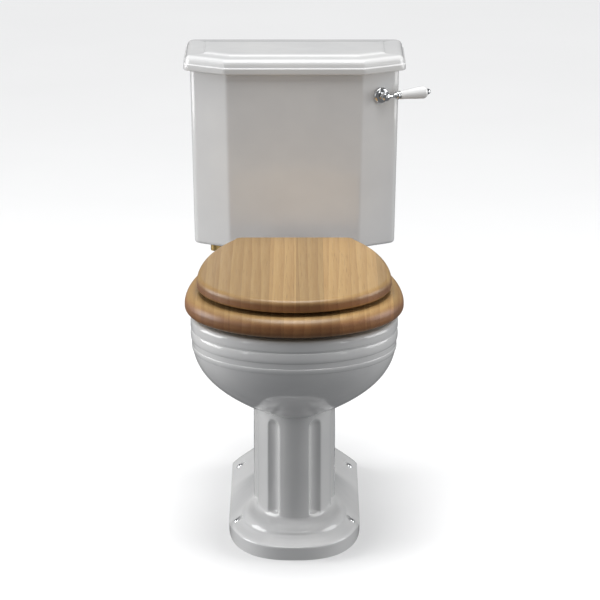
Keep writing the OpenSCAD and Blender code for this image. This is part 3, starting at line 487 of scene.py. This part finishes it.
def metal_finish(name, c, rough, brushed=0.0):
    """Bare or plated metal: faint tarnish clouds, fine scratches and a roughness that wanders."""
    s = Shader(name)
    scratch = s.noise(1.0, 3.0, s.stretch(300.0, 300.0, 2600.0), 0.6)
    clouds = s.noise(45.0, 5.0)
    base = s.blend(s.map(clouds, 0.3, 0.7, 0.0, 1.0), tint(c, 0.86), tint(c, 1.06))
    worn = s.math("ADD", clouds, s.math("MULTIPLY", scratch, 0.4))
    spread = s.map(worn, 0.4, 1.0, rough * 0.7, rough * 1.5)
    scored = s.bump(scratch, 0.00002 + brushed * 0.00005, 0.25 + brushed)
    return s.finish(Base_Color=base, Metallic=1.0, Roughness=spread, Normal=scored)


def moulded_finish(name, c, rough, grain):
    """Rubber or moulded plastic: a slight change of tone, with a fine pebbled surface."""
    s = Shader(name)
    base = s.blend(s.map(s.noise(30.0, 4.0), 0.35, 0.65, 0.0, 1.0), tint(c, 0.88), tint(c, 1.08))
    return s.finish(
        Base_Color=base, Roughness=s.map(s.noise(90.0, 3.0), 0.3, 0.7, rough * 0.85, rough * 1.15),
        Normal=s.bump(s.noise(grain, 2.0), 0.00008, 0.4),
    )


def floor_finish(c):
    """Pale matt floor with the faintest mottle."""
    s = Shader("pale_floor")
    base = s.blend(s.map(s.noise(2.0, 4.0), 0.3, 0.7, 0.0, 1.0), tint(c, 0.985), tint(c, 1.0))
    return s.finish(Base_Color=base, Roughness=0.6)


FINISHES = {}


def finish_of(slot):
    """The finish of a record slot, made once."""
    if slot not in FINISHES:
        stave, c = bpy.context.scene.toilet_sizes.stave_width, bpy.context.scene.toilet_colours
        ring, cover = (RING_LOW[2] * MM, RING_HIGH[2] * MM), (COVER_LOW[2] * MM, COVER_HIGH[2] * MM)
        FINISHES[slot] = {
            "china": lambda: china_finish("china_glaze", c.china),
            "lever_china": lambda: china_finish("lever_glaze", tuple(min(1.0, v * 1.08) for v in c.china)),
            "oak": lambda: oak_finish("oak_ring", c, stave, 0.37, *ring),
            "oak_cover": lambda: oak_finish("oak_cover", c, stave, 0.92, *cover),
            "chrome": lambda: metal_finish("chrome_plate", c.chrome, 0.07),
            "brass": lambda: metal_finish("brass", c.brass, 0.26, 0.4),
            "steel": lambda: metal_finish("zinc_steel", c.steel, 0.34, 0.6),
            "rubber": lambda: moulded_finish("rubber", c.rubber, 0.62, 900.0),
            "plastic": lambda: moulded_finish("moulded_plastic", c.plastic, 0.34, 500.0),
        }[slot]()
    return FINISHES[slot]


# ---- pan ----

# Outlines in millimetres: front, widest, back, half width, rear half width, taper, corner radius, roundness
COLUMN_FRONT, COLUMN_WIDEST = -183, -58
RIM = (PAN_LOW[1], PAN_LOW[1] + 168, PAN_HIGH[1], PAN_HIGH[0], 120, 377, 24, 2)
INNER = (RIM[0] + 14, RIM[0] + 173, HINGE[1] - 48, RIM[3] - 14, 40, 225, 12, 2)
LIP = (RIM[0] + 41, RIM[0] + 183, HINGE[1] - 70, RIM[3] - 46, 30, 205, 10, 2)
SUMP = (-110, -62, -15, 38, 14, 70, 8, 2)
RING = (RING_LOW[1], RING_LOW[1] + 178, HINGE[1] - 16, RING_HIGH[0], 60, 335, 16, 2)
RING_HOLE = (RING_LOW[1] + 75, RING_LOW[1] + 200, HINGE[1] - 96, 112, 30, 185, 10, 2)
COVER = (COVER_LOW[1], COVER_LOW[1] + 168, HINGE[1] - 5, COVER_HIGH[0], 60, 320, 14, 2)
SUMP_Z, CAVITY_Z, WALL = 118.0, 100.0, 12.0
SHELF_FRONT = HINGE[1] + 25
OUTLET_Z = 185.0
BEAD = 1.7  # how far the upper bead stands out
FLUTES_AT = (30, 69)  # turns of the flutes round the column's front, in degrees
FIXINGS = [(x, y) for x in (-100, 100) for y in (-125, 177)]
PILLARS = [(-77.5, HINGE[1]), (77.5, HINGE[1])]
INLET = (0.0, 235.0)
COUPLINGS = [(-78.0, 257.0), (78.0, 257.0)]

# Foot mouldings, from the floor up: height past the plinth's top, and share of the way in to the column
FOOT_STEPS = np.array([
    [-21, 0], [0, 0], [1.5, 0.01], [3.5, 0.035], [5, 0.08], [6, 0.14], [7, 0.21], [9, 0.31], [12, 0.40],
    [13, 0.43], [14.5, 0.45], [17.5, 0.475], [21, 0.53], [23.5, 0.60], [25, 0.70], [25.6, 0.80],
    [26.5, 0.90], [28.5, 0.97], [31, 1],
])


def flute(points, centre, inward, radius, top, foot):
    """Presses a round-topped groove into surface points: each point inside the groove's cylinder, or its
    end ball, moves inward to the far wall. A hyperbola softens its edge, and the groove fades out just
    above its foot."""
    away, soft = 4.0, 1.1
    d = points[..., :2] - centre
    height = -(d @ inward)
    across = d @ np.array([-inward[1], inward[0]])
    chord = np.sqrt(np.clip(radius**2 - across**2 - np.clip(points[..., 2] - top, 0, None) ** 2, 0, None))
    depth = np.where(chord > 0, np.maximum(height + chord, -away), -away)
    press = 0.5 * (depth + np.sqrt(depth**2 + soft)) - 0.5 * (math.sqrt(away**2 + soft) - away)
    press = press * smooth((points[..., 2] - foot) / 7)
    points[..., :2] += press[..., None] * inward


def pan_skin(z):
    """The pan as one closed skin of rings: hollow foot, mouldings, fluted column, bowl with two beads, box
    rim with its hanging lip, and the inside of the bowl down to the sump. Each outside ring blends the
    column's outline to the rim's by a power of its height; inside rings share the rim's bearings."""
    column = (COLUMN_FRONT, COLUMN_WIDEST, 245, z.column_width / MM / 2, 54, 207, 24, 2.1)
    foot = (-255, -65, 255, z.foot_width / MM / 2, z.foot_width / MM / 2, 5000, 36, 2.5)
    neck = (-170, -95, 20, column[3] - 13, 20, 125, 10, 2)
    rim_z, spring, plinth = z.rim_height / MM, z.column_height / MM, z.plinth_height / MM
    at_column, at_foot = outline(column), outline(foot)
    rings = [
        at_height(outline(column, -WALL), CAVITY_Z),
        at_height(outline(column, -WALL), 60),
        at_height(mix(outline(foot, -WALL - 24), outline(column, -WALL), 0.5), 30),
        at_height(outline(foot, -WALL - 20), 0),
    ]
    steps = eased(FOOT_STEPS, 78)
    slope = np.linspace(0, 11, 78)
    q = np.clip((slope - 1) / 10, 0, 1)
    sloped = np.stack([np.where(slope < 1, slope * (plinth - 6), mix(plinth - 6, 60, q)), q**1.1], 1)
    front = smooth((-105 - at_foot[:, 1]) / 60)
    for step, ramp in zip(steps, sloped):
        height = mix(ramp[0], max(step[0] + plinth, 0), front)
        share = mix(ramp[1], float(np.clip(step[1], 0, 1)), front)[:, None]
        rings.append(at_height(mix(at_foot, at_column, share), height))
    top, foot_rings = rings[-1][:, 2], len(rings)
    rings += [at_height(at_column, mix(top, 66, t)) for t in (0.2, 0.3, 0.318, 0.45, 0.7, 1)]
    for h in np.concatenate([np.linspace(78, 200, 11), np.linspace(203, 229, 20), [231, 234, spring]]):
        rings.append(at_height(at_column, h))
    rings = np.array(rings)
    half, deep, radius = column[3], COLUMN_WIDEST - COLUMN_FRONT, z.flute_radius / MM
    for side in ([-1, 1], [1, 1]):
        for a in np.radians(FLUTES_AT):
            out = np.array([math.sin(a) / half, -math.cos(a) / deep])
            out /= np.linalg.norm(out)
            face = np.array([half * math.sin(a), COLUMN_WIDEST - deep * math.cos(a)])
            centre = face + out * (radius - z.flute_depth / MM)
            flute(rings[foot_rings:], centre * side, -out * side, radius, spring - 22, plinth + 32)

    def bead(h, mid, half, rise):
        return rise * math.sqrt(max(0.0, 1 - ((h - mid) / half) ** 2))

    outside = []
    bowl_top = rim_z - 30
    bulge = np.radians(np.linspace(-90, 90, 11))
    heights = np.concatenate([
        spring + (rim_z - 60 - spring) * np.linspace(0, 1, 38)[1:] ** 1.15,
        rim_z - 54 + 5 * np.sin(bulge),
        [rim_z - 46, rim_z - 42],
        rim_z - 30 + 9 * np.sin(np.radians(np.linspace(-90, 90, 15))),
        [rim_z - 20, rim_z - 18],
    ])
    for h in heights:
        r = outline(RIM, bead(h, rim_z - 30, 9, BEAD) + bead(h, rim_z - 54, 5, BEAD * 0.6) - BEAD)
        rear = smooth((r[:, 1] - 10) / (HINGE[1] - 10))
        bowl = 1 - max(0.0, (bowl_top - h) / (bowl_top - spring)) ** 2.3
        share = mix(bowl, smooth((h - (rim_z - 36)) / 22), rear)[:, None]
        outside.append(at_height(mix(at_column, r, share), h))
    rise = PAN_HIGH[2] - rim_z

    def raised(plan, h, amount=1.0):
        """Rim points, lifted to the cistern's shelf behind the seat by a soft step."""
        return at_height(plan, h + rise * amount * smooth((plan[:, 1] - SHELF_FRONT + 3) / 14))

    for offset, h in [(-1.2, -17.8), (-0.3, -17.2), (0, -16), (0, -12), (0, -7)]:
        outside.append(raised(outline(RIM, offset), rim_z + h, np.clip((h + 16) / 9, 0, 1)))
    for offset, h in arc(-7, -7, 7, 7, 12, 90, 8):
        outside.append(raised(outline(RIM, offset), rim_z + h))
    edge = outside[-1][:, :2]
    turn = bearing(edge)
    mouth = outline_at(LIP, 6, turn)
    span = np.where(np.abs(edge[:, 1] - mouth[:, 1]) < 1, 1, edge[:, 1] - mouth[:, 1])
    near = np.clip((SHELF_FRONT - 5 - mouth[:, 1]) / span, 0.25, 0.80)
    far = np.clip((SHELF_FRONT + 13 - mouth[:, 1]) / span, 0.30, 0.88)
    near, far = (np.where(edge[:, 1] > SHELF_FRONT - 5, v, d) for v, d in ((near, 0.4), (far, 0.7)))
    far = np.maximum(far, near + 0.02)
    shares = [far + (1 - far) * 0.6]
    shares += [mix(near, far, t) for t in (1.0, 0.86, 0.72, 0.58, 0.44, 0.3, 0.16, 0.0)]
    shares += [near * 0.5]
    inside = [raised(mix(mouth, edge, share[:, None]), rim_z) for share in shares]
    lip = [(6 - 6 * math.sin(a), -7 + 7 * math.cos(a)) for a in np.radians(np.linspace(0, 90, 8))]
    lip += [(4.5 - 4.5 * math.cos(a), -32 - 4 * math.sin(a)) for a in np.radians(np.linspace(0, 180, 9))]
    lip += [(9, -16), (10.5, -13.4)]
    inside += [at_height(outline_at(LIP, offset, turn), rim_z + h) for offset, h in lip]
    at_inner, at_neck = outline_at(INNER, 0, turn), outline_at(neck, 0, turn)
    inside += [at_height(mix(outline_at(LIP, 12, turn), at_inner, t), rim_z - 13) for t in (0.1, 0.5, 0.93)]
    inside += [at_height(at_inner, rim_z - h) for h in (14.5, 20, 32, 42)]
    for u in np.linspace(1, 0, 30)[1:]:
        inside.append(at_height(mix(at_neck, at_inner, 1 - (1 - u) ** 2.1), mix(spring, rim_z - 42, u)))
    for u in np.linspace(1, 0, 16)[1:]:
        plan = outline_at(SUMP, -8 * (1 - smooth(u * 6)), turn)
        inside.append(at_height(mix(plan, at_neck, smooth(u)), mix(SUMP_Z, spring, u)))
    return skin(np.concatenate([rings, outside, inside]))


def stepped(points, *rows):
    """Cutters of stepped radius at each fixing point: rows are radius and height."""
    profile = [[0, rows[0][1]], *rows, [0, rows[-1][1]]]
    return [lathe(profile, np.array([x, y, 0.0]), (0, 0, 1), 40) for x, y in points]


class TOILET_OT_pan(bpy.types.Operator):
    """Glazed pan with its fluted column, and the outlet spigot behind it"""

    bl_idname = "toilet.pan"
    bl_label = "Pan"

    def execute(self, context):
        z = context.scene.toilet_sizes
        under = z.rim_height / MM - 20
        trap_in, trap_over = np.array([0, SUMP[1] + 15, SUMP_Z + 27]), np.array([0, HINGE[1] - 3, 300.0])
        trap = bar(trap_in, mix(trap_in, trap_over, 0.7), 25, 64)
        hollow = block((-42, HINGE[1] + 4, -4), (42, 233, under - 50))
        cuts = [
            stepped(FIXINGS, (4, -1), (4, 22), (8.5, 22), (8.5, 62))
            + stepped(PILLARS, (14.5, under - 40), (14.5, under), (6, under), (6, under + 40))
            + stepped(COUPLINGS, (14.5, under - 40), (14.5, under), (6, under), (6, under + 60))
            + stepped([INLET], (28, under - 20), (28, under + 60))
            + [trap, hollow]
        ]
        piece("pan_china", [pan_skin(z)], finish_of("china"), "pan_and_cistern", ["pan"], cuts)
        spigot = [
            (0, 231), (57, 231), (57, 246), (56.4, 247.8), (54.8, 248.8), (52, 249), (51, 250), (51, 307),
            (50.5, 309), (49, 310), (45, 310), (43.5, 309), (43, 307), (43, 236), (0, 236),
        ]
        shell = lathe(spigot, np.array([0, 0, OUTLET_Z]), (0, 1, 0), 96)
        piece("outlet_spigot", [shell], finish_of("china"), "pan_and_cistern", [])
        return {"FINISHED"}


# ---- cistern ----


def chamfered(half, front, back, inset, cut_x, cut_y, radius=None):
    """Plan of a box with its two front corners cut off and each corner rounded: an arc about a centre on
    each corner's bisector, with a point just past each end of the arc to keep the flats flat."""
    slant = math.hypot(cut_x, cut_y)
    w, f, k = half - inset, front + inset, back - inset
    a = half - cut_x - inset * (slant - cut_x) / cut_y
    b = front + cut_y + inset * (slant - cut_y) / cut_x
    p = np.array([[a, f], [w, b], [w, k], [-w, k], [-w, b], [-a, f]])
    base = max(3.0, 16 - inset / 2) if radius is None else max(radius - inset / 2, 2.0)
    radii = base * np.array([1, 1, 0.7, 0.7, 1, 1])
    before, after = np.roll(p, 1, 0) - p, np.roll(p, -1, 0) - p
    u = before / np.linalg.norm(before, axis=1)[:, None]
    v = after / np.linalg.norm(after, axis=1)[:, None]
    half_turn = np.arccos((u * v).sum(1)) / 2
    reach = (radii / np.tan(half_turn))[:, None]
    middle = u + v
    centre = p + middle / np.linalg.norm(middle, axis=1)[:, None] * (radii / np.sin(half_turn))[:, None]
    start = p + u * reach - centre
    turn = (math.pi - 2 * half_turn)[:, None] * np.linspace(0, 1, 9)
    x = centre[:, :1] + start[:, :1] * np.cos(turn) - start[:, 1:] * np.sin(turn)
    y = centre[:, 1:] + start[:, :1] * np.sin(turn) + start[:, 1:] * np.cos(turn)
    arcs = np.stack([x, y], 2)
    lead, tail = p + u * (reach + 3), p + v * (reach + 3)
    return np.concatenate([lead[:, None], arcs, tail[:, None]], 1).reshape(-1, 2)


# Lid mouldings: inset from the lid's edge, and height above the cistern
LID_EDGE = [(2.5, 12.6), (2.7, 14.4), (3.6, 18.8), (5.4, 22.3), (8, 24.7), (11, 25.9), (14, 26.3), (19, 26.5)]
LID_PANEL = [(37.2, 27.4), (38.6, 28.2), (40.6, 28.8)]


class TOILET_OT_cistern(bpy.types.Operator):
    """Glazed cistern and its lift-off lid, both with cut front corners"""

    bl_idname = "toilet.cistern"
    bl_label = "Cistern and lid"

    def execute(self, context):
        z = context.scene.toilet_sizes
        cut = (z.chamfer_width / MM, z.chamfer_depth / MM)
        low, high = TANK_LOW[2], TANK_HIGH[2]
        floor = low + 12

        def ring(inset, h):
            half = TANK_HIGH[0] - z.tank_taper / MM / 2 * (1 - (h - low) / (high - low))
            return at_height(chamfered(half, TANK_LOW[1], TANK_HIGH[1], inset, *cut), h)

        quarter = np.radians(np.linspace(0, 90, 7))
        rows = [(5 * (1 - math.sin(a)), low + 5 * (1 - math.cos(a))) for a in quarter]
        rows += [(0, h) for h in np.linspace(low + 8, high - 4, 9)]
        rows += [(0, high - 1), (0.3, high - 0.3), (1, high), (9, high), (9.7, high - 0.3)]
        rows += [(10, high - 1), (10, high - 8), (10, floor + 60), (10, floor + 9)]
        rows += [(10 + 7 * (1 - math.cos(a)), floor + 7 * (1 - math.sin(a))) for a in quarter]
        out = np.array([math.sin(LEVER_TURN), -math.cos(LEVER_TURN), 0])
        back, screw_z = TANK_HIGH[1], high - 70
        cuts = [
            stepped([INLET], (22.7, low - 2), (22.7, floor + 2))
            + stepped([(-145, INLET[1] + 9), (145, INLET[1] + 9)], (11, low - 2), (11, floor + 2))
            + stepped(COUPLINGS, (5, low - 2), (5, floor + 2))
            + [bar(LEVER - out * 20, LEVER + out * 10, 8.2)]
            + [bar((x, back - 11, screw_z), (x, back + 2, screw_z), 4, 32) for x in (-110, 110)]
        ]
        body = skin([ring(*r) for r in rows])
        piece("cistern_china", [body], finish_of("china"), "pan_and_cistern", ["cistern"], cuts)

        over = z.lid_overhang / MM

        def lid_ring(inset, h):
            plan = chamfered(TANK_HIGH[0], TANK_LOW[1], LID_HIGH[1] - over, inset - over, *cut, radius=12)
            return at_height(plan, high + h)

        rib = over + 12
        top = LID_HIGH[2] - high + 1.2
        rows = [
            (rib + 12, 14), (rib + 9, 6), (rib + 8, -7), (rib + 7, -8), (rib + 2, -8),
            (rib, -6), (rib, -0.5), (rib - 1, 0), (3, 0),
            *arc(1.6, 1.6, -1.6, -1.6, 90, 0, 5), (0, 10),
            *arc(1.4, 10, -1.4, 1.6, 0, 90, 5), (2.2, 11.8),
            *eased(LID_EDGE, 22), (22, 26.6), (35, 26.8), (36.6, 27.1),
            *eased([*LID_PANEL, (43.5, top)], 9), (52, top), (70, top),
        ]
        lid = skin([lid_ring(*r) for r in rows])
        piece("lid_china", [lid], finish_of("china"), "tank_lid", ["cistern_lid"], crease=24)
        return {"FINISHED"}


# ---- seat ----


class TOILET_OT_seat(bpy.types.Operator):
    """Oak seat ring and lid with turned edges"""

    bl_idname = "toilet.seat"
    bl_label = "Oak seat"

    def execute(self, context):
        low, high = RING_LOW[2], RING_HIGH[2]
        turns = np.radians(np.linspace(0, 90, 11))
        near, far = 1 - np.sin(turns), 1 - np.cos(turns)
        rows = [at_height(outline(RING, -12 * n), low + 12 * f) for n, f in zip(near, far)]
        rows += [at_height(outline(RING, -16 * f), high - 16 * n) for n, f in zip(near, far)]
        edge = rows[-1][:, :2]
        turn = bearing(edge)
        hole = outline_at(RING_HOLE, 8, turn)
        rows += [at_height(mix(edge, hole, t), high) for t in (0.04, 0.35, 0.7, 0.96)]
        few = list(zip(near[::2], far[::2]))
        rows += [at_height(outline_at(RING_HOLE, 8 * n, turn), high - 8 * f) for n, f in few]
        rows += [at_height(outline_at(RING_HOLE, 6 * f, turn), low + 6 * n) for n, f in few]
        under = rows[0][:, :2]
        rows += [at_height(mix(outline_at(RING_HOLE, 6, turn), under, t), low) for t in (0.04, 0.5, 0.96)]
        piece("ring_oak", [skin(rows, True)], finish_of("oak"), "seat_ring_assembly", ["seat_ring"])
        low, high = COVER_LOW[2], COVER_HIGH[2]
        rows = [at_height(outline(COVER, -5 * n), low + 5 * f) for n, f in zip(near, far)]
        rows += [at_height(outline(COVER, -9 * f), high - 9 * n) for n, f in zip(near, far)]
        rows = [at_height(outline(COVER, -9), low), *rows, at_height(outline(COVER, -14), high)]
        piece("cover_oak", [skin(rows)], finish_of("oak_cover"), "seat_lid_assembly", ["seat_lid"])
        return {"FINISHED"}


# ---- metalwork ----


def dome(reach, sink, radius, start=0.0):
    """Profile of a ball's cap that is cut off flat and closes on its pole."""
    first = math.asin(sink / radius)
    a = np.linspace(first, math.pi / 2, 9)
    rows = np.stack([np.minimum(radius * np.cos(a), reach), start - sink + radius * np.sin(a)], 1)
    rows[-1, 0] = 0
    return [(0, start), *rows]


class TOILET_OT_hinges(bpy.types.Operator):
    """Plated hinge pillars, their rod and its end caps"""

    bl_idname = "toilet.hinges"
    bl_label = "Seat hinges"

    def execute(self, context):
        rim = context.scene.toilet_sizes.rim_height / MM
        x_axis, up = (1, 0, 0), (0, 0, 1)
        tall = HINGE[2] - rim
        post = [
            (0, 1.5), (12.4, 1.5), (13, 2.1), (13, 4.6), (12.3, 5.4), (11, 5.6),
            (9.6, 7.4), (8.4, 9.6), (8, 11.5), (8, tall), (0, tall),
        ]
        barrel = [(0, -8), (9.4, -8), (10.2, -7.6), (10.5, -6.8), (10.5, 6.8), (10.2, 7.6), (9.4, 8), (0, 8)]
        shells = []
        for x, y in PILLARS:
            shells.append(lathe(post, np.array([x, y, rim]), up))
            shells.append(lathe(barrel, np.array([x, y, HINGE[2]]), x_axis))
        chrome = finish_of("chrome")
        piece("hinge_posts", shells, chrome, "pan_and_cistern", ["hinge_pillars"])
        half = PILLARS[1][0] + 28
        rod = [(0, -half), (5, -half), (5, half), (0, half)]
        centre = np.array([0, HINGE[1], HINGE[2]])
        bar_skin = lathe(rod, centre, x_axis, 40)
        piece("hinge_bar", [bar_skin], chrome, "pan_and_cistern", ["hinge_rod"])
        caps = [lathe(dome(8, 2, 8), centre + [s * half, 0, 0], (s, 0, 0)) for s in (-1, 1)]
        piece("hinge_bar_caps", caps, chrome, "pan_and_cistern", ["hinge_rod_caps"])
        return {"FINISHED"}


class TOILET_OT_fixings(bpy.types.Operator):
    """Plated domes and cups over the floor screws"""

    bl_idname = "toilet.fixings"
    bl_label = "Floor fixings"

    def execute(self, context):
        at = [np.array([x, y, 22.0]) for x, y in FIXINGS]
        cup = [(2.5, 0), (7.6, 0), (7.9, 0.3), (7.9, 1.6), (7.6, 2), (2.5, 2)]
        cups = [lathe(cup, p, (0, 0, 1), 40, True) for p in at]
        piece("screw_cups", cups, finish_of("chrome"), "pan_and_cistern", ["floor_screw_cups"])
        caps = [lathe(dome(7.5, 1.5, 7.65), p + [0, 0, 2.0], (0, 0, 1), 40) for p in at]
        piece("screw_domes", caps, finish_of("chrome"), "pan_and_cistern", ["floor_screw_caps"])
        return {"FINISHED"}


class TOILET_OT_lever(bpy.types.Operator):
    """Flush lever: rosette, neck, collar, glazed grip and finial, turned about its spindle and its own
    length"""

    bl_idname = "toilet.lever"
    bl_label = "Flush lever"

    def execute(self, context):
        along = np.array([math.cos(LEVER_TURN), math.sin(LEVER_TURN), 0])
        out = np.array([math.sin(LEVER_TURN), -math.cos(LEVER_TURN), 0])
        arm = LEVER + out * 17
        chrome = finish_of("chrome")
        rosette = [
            (5.5, 0.2), (14.6, 0.2), (15, 0.6), (15, 2),
            *arc(9, 2, 6, 5.3, 8, 88, 9), (8.6, 7.5), (5.5, 7.5),
        ]
        turned = lathe(rosette, LEVER, out, 72, True)
        piece("rosette", [turned], chrome, "pan_and_cistern", ["lever_rosette"])
        boss = [(0, 8.5), (7.1, 8.5), (7.5, 9), (7.5, 21.5), *dome(7.5, 7, 10.26, 21.5)[2:]]
        waist = eased([(5, 6.5), (4.5, 9.5), (3.7, 12.5), (3.4, 16), (3.8, 19), (4.6, 21)], 16)
        neck = [(0, 0), (5, 0), *waist, (0, 21)]
        shells = [lathe(boss, LEVER, out), lathe(neck, arm, along)]
        piece("neck", shells, chrome, "lever", ["lever_neck"])
        collar = [
            (2.5, 21), (5.4, 21), *arc(4.6, 25, 3.4, 3.4, -70, 62, 13),
            (6.5, 28.6), (7.3, 28.8), (7.4, 29.2), (7.2, 30), (2.5, 30),
        ]
        piece("collar", [lathe(collar, arm, along, 60, True)], chrome, "lever", ["lever_collar"])
        t = np.linspace(0, 1, 15)
        swell = np.stack([8 + 3.7 * smooth(t * 0.9), mix(31, 79, t)], 1)
        grip = [
            (2.5, 30), (6.8, 30), (7.7, 30.4), *swell,
            *arc(4.7, 79, 6.9, 7, 6, 86, 9), (4.4, 86), (2.5, 86),
        ]
        glazed = finish_of("lever_china")
        piece("grip", [lathe(grip, arm, along, 72, True)], glazed, "lever", ["lever_grip"])
        tip = [(0, 86), (5, 86), (5.4, 86.4), *arc(0, 88.5, 5.4, 6.5, 0, 82, 9), (0, 95)]
        piece("finial", [lathe(tip, arm, along)], chrome, "lever", ["lever_finial"])
        return {"FINISHED"}


class TOILET_OT_fittings(bpy.types.Operator):
    """Gives every fitting that keeps its own shape the finish of its material"""

    bl_idname = "toilet.fittings"
    bl_label = "Inside fittings"

    def execute(self, context):
        for name, obj in frame["nodes"].items():
            if obj.hide_render:
                continue
            for slot in obj.material_slots:
                slot.material = finish_of(SLOT_OF[name])
        return {"FINISHED"}


# ---- stage ----

SKY = 0.17  # strength of the plain sky
# Overhead daylight: strength, and the width of its disc in degrees
DAYLIGHT, DAYLIGHT_WIDTH = 2.5, 44.0
# Camera: place, tilt down in degrees, focal length in millimetres
EYE, TILT, LENS = (0.010, -5.602, 2.006), 16.0, 195.7
FLOOR_REACH = 30.0
# Soft lights: name, place, aim, width, height, power
LIGHTS = [
    ("front", (0.0, -1.0, 2.7), (0.0, 0.1, 0.6), 2.4, 0.8, 13.0),
    ("left_wall", (-2.3, 0.2, 0.9), (0.0, 0.0, 0.45), 1.6, 1.6, 38.0),
    ("right_wall", (2.3, 0.2, 0.9), (0.0, 0.0, 0.45), 1.6, 1.6, 24.0),
    ("left_strip", (-1.9, -1.7, 1.0), (0.0, 0.0, 0.45), 0.25, 1.8, 4.5),
    ("right_strip", (1.9, -1.7, 1.0), (0.0, 0.0, 0.45), 0.25, 1.8, 3.0),
]


class TOILET_OT_stage(bpy.types.Operator):
    """Pale floor, daylight, soft lights, a plain sky and the camera"""

    bl_idname = "toilet.stage"
    bl_label = "Floor, lights and camera"

    def execute(self, context):
        scene = context.scene
        mesh = bpy.data.meshes.new("floor")
        corners = [(x * FLOOR_REACH, y * FLOOR_REACH, 0) for x, y in ((-1, -1), (1, -1), (1, 1), (-1, 1))]
        mesh.from_pydata(corners, [], [[0, 1, 2, 3]])
        floor = bpy.data.objects.new("floor", mesh)
        scene.collection.objects.link(floor)
        mesh.materials.append(floor_finish(scene.toilet_colours.floor))
        floor.visible_diffuse = floor.visible_glossy = False
        sun = bpy.data.lights.new("daylight", "SUN")
        sun.energy, sun.angle = DAYLIGHT, math.radians(DAYLIGHT_WIDTH)
        scene.collection.objects.link(bpy.data.objects.new("daylight", sun))
        for name, place, aim, wide, tall, power in LIGHTS:
            light = bpy.data.lights.new(name, "AREA")
            light.shape, light.size, light.size_y, light.energy = "RECTANGLE", wide, tall, power
            lamp = bpy.data.objects.new(name, light)
            lamp.location = place
            lamp.rotation_euler = (Vector(aim) - Vector(place)).to_track_quat("-Z", "Y").to_euler()
            scene.collection.objects.link(lamp)
        world = bpy.data.worlds.new("sky")
        world.use_nodes = True
        sky = world.node_tree.nodes["Background"]
        sky.inputs["Color"].default_value = (0.95, 0.97, 1.0, 1.0)
        sky.inputs["Strength"].default_value = SKY
        scene.world = world
        scene.view_settings.view_transform = "Standard"
        camera = bpy.data.cameras.new("camera")
        camera.lens, camera.sensor_width, camera.clip_end = LENS, 36.0, 100.0
        eye = bpy.data.objects.new("camera", camera)
        eye.location = EYE
        eye.rotation_euler = (math.radians(90 - TILT), 0, 0)
        scene.collection.objects.link(eye)
        scene.camera = eye
        return {"FINISHED"}


OPERATORS = (
    TOILET_OT_pan,
    TOILET_OT_cistern,
    TOILET_OT_seat,
    TOILET_OT_hinges,
    TOILET_OT_fixings,
    TOILET_OT_lever,
    TOILET_OT_fittings,
    TOILET_OT_stage,
)


class TOILET_PT_panel(bpy.types.Panel):
    """Lists the toilet's sizes, colours and pieces"""

    bl_idname = "TOILET_PT_panel"
    bl_label = "Close coupled toilet"
    bl_space_type = "VIEW_3D"
    bl_region_type = "UI"
    bl_category = "Toilet"

    def draw(self, context):
        for group in (context.scene.toilet_sizes, context.scene.toilet_colours):
            for name in group.__annotations__:
                self.layout.prop(group, name)
        for operator in OPERATORS:
            self.layout.operator(operator.bl_idname)


CLASSES = (ToiletSizes, ToiletColours, *OPERATORS, TOILET_PT_panel)


def register():
    for cls in CLASSES:
        bpy.utils.register_class(cls)
    bpy.types.Scene.toilet_sizes = bpy.props.PointerProperty(type=ToiletSizes)
    bpy.types.Scene.toilet_colours = bpy.props.PointerProperty(type=ToiletColours)


def unregister():
    del bpy.types.Scene.toilet_colours
    del bpy.types.Scene.toilet_sizes
    for cls in reversed(CLASSES):
        bpy.utils.unregister_class(cls)


def main():
    """Makes every piece and the stage."""
    register()
    bpy.ops.toilet.pan()
    bpy.ops.toilet.cistern()
    bpy.ops.toilet.seat()
    bpy.ops.toilet.hinges()
    bpy.ops.toilet.fixings()
    bpy.ops.toilet.lever()
    bpy.ops.toilet.fittings()
    bpy.ops.toilet.stage()


if __name__ == "__main__":
    main()
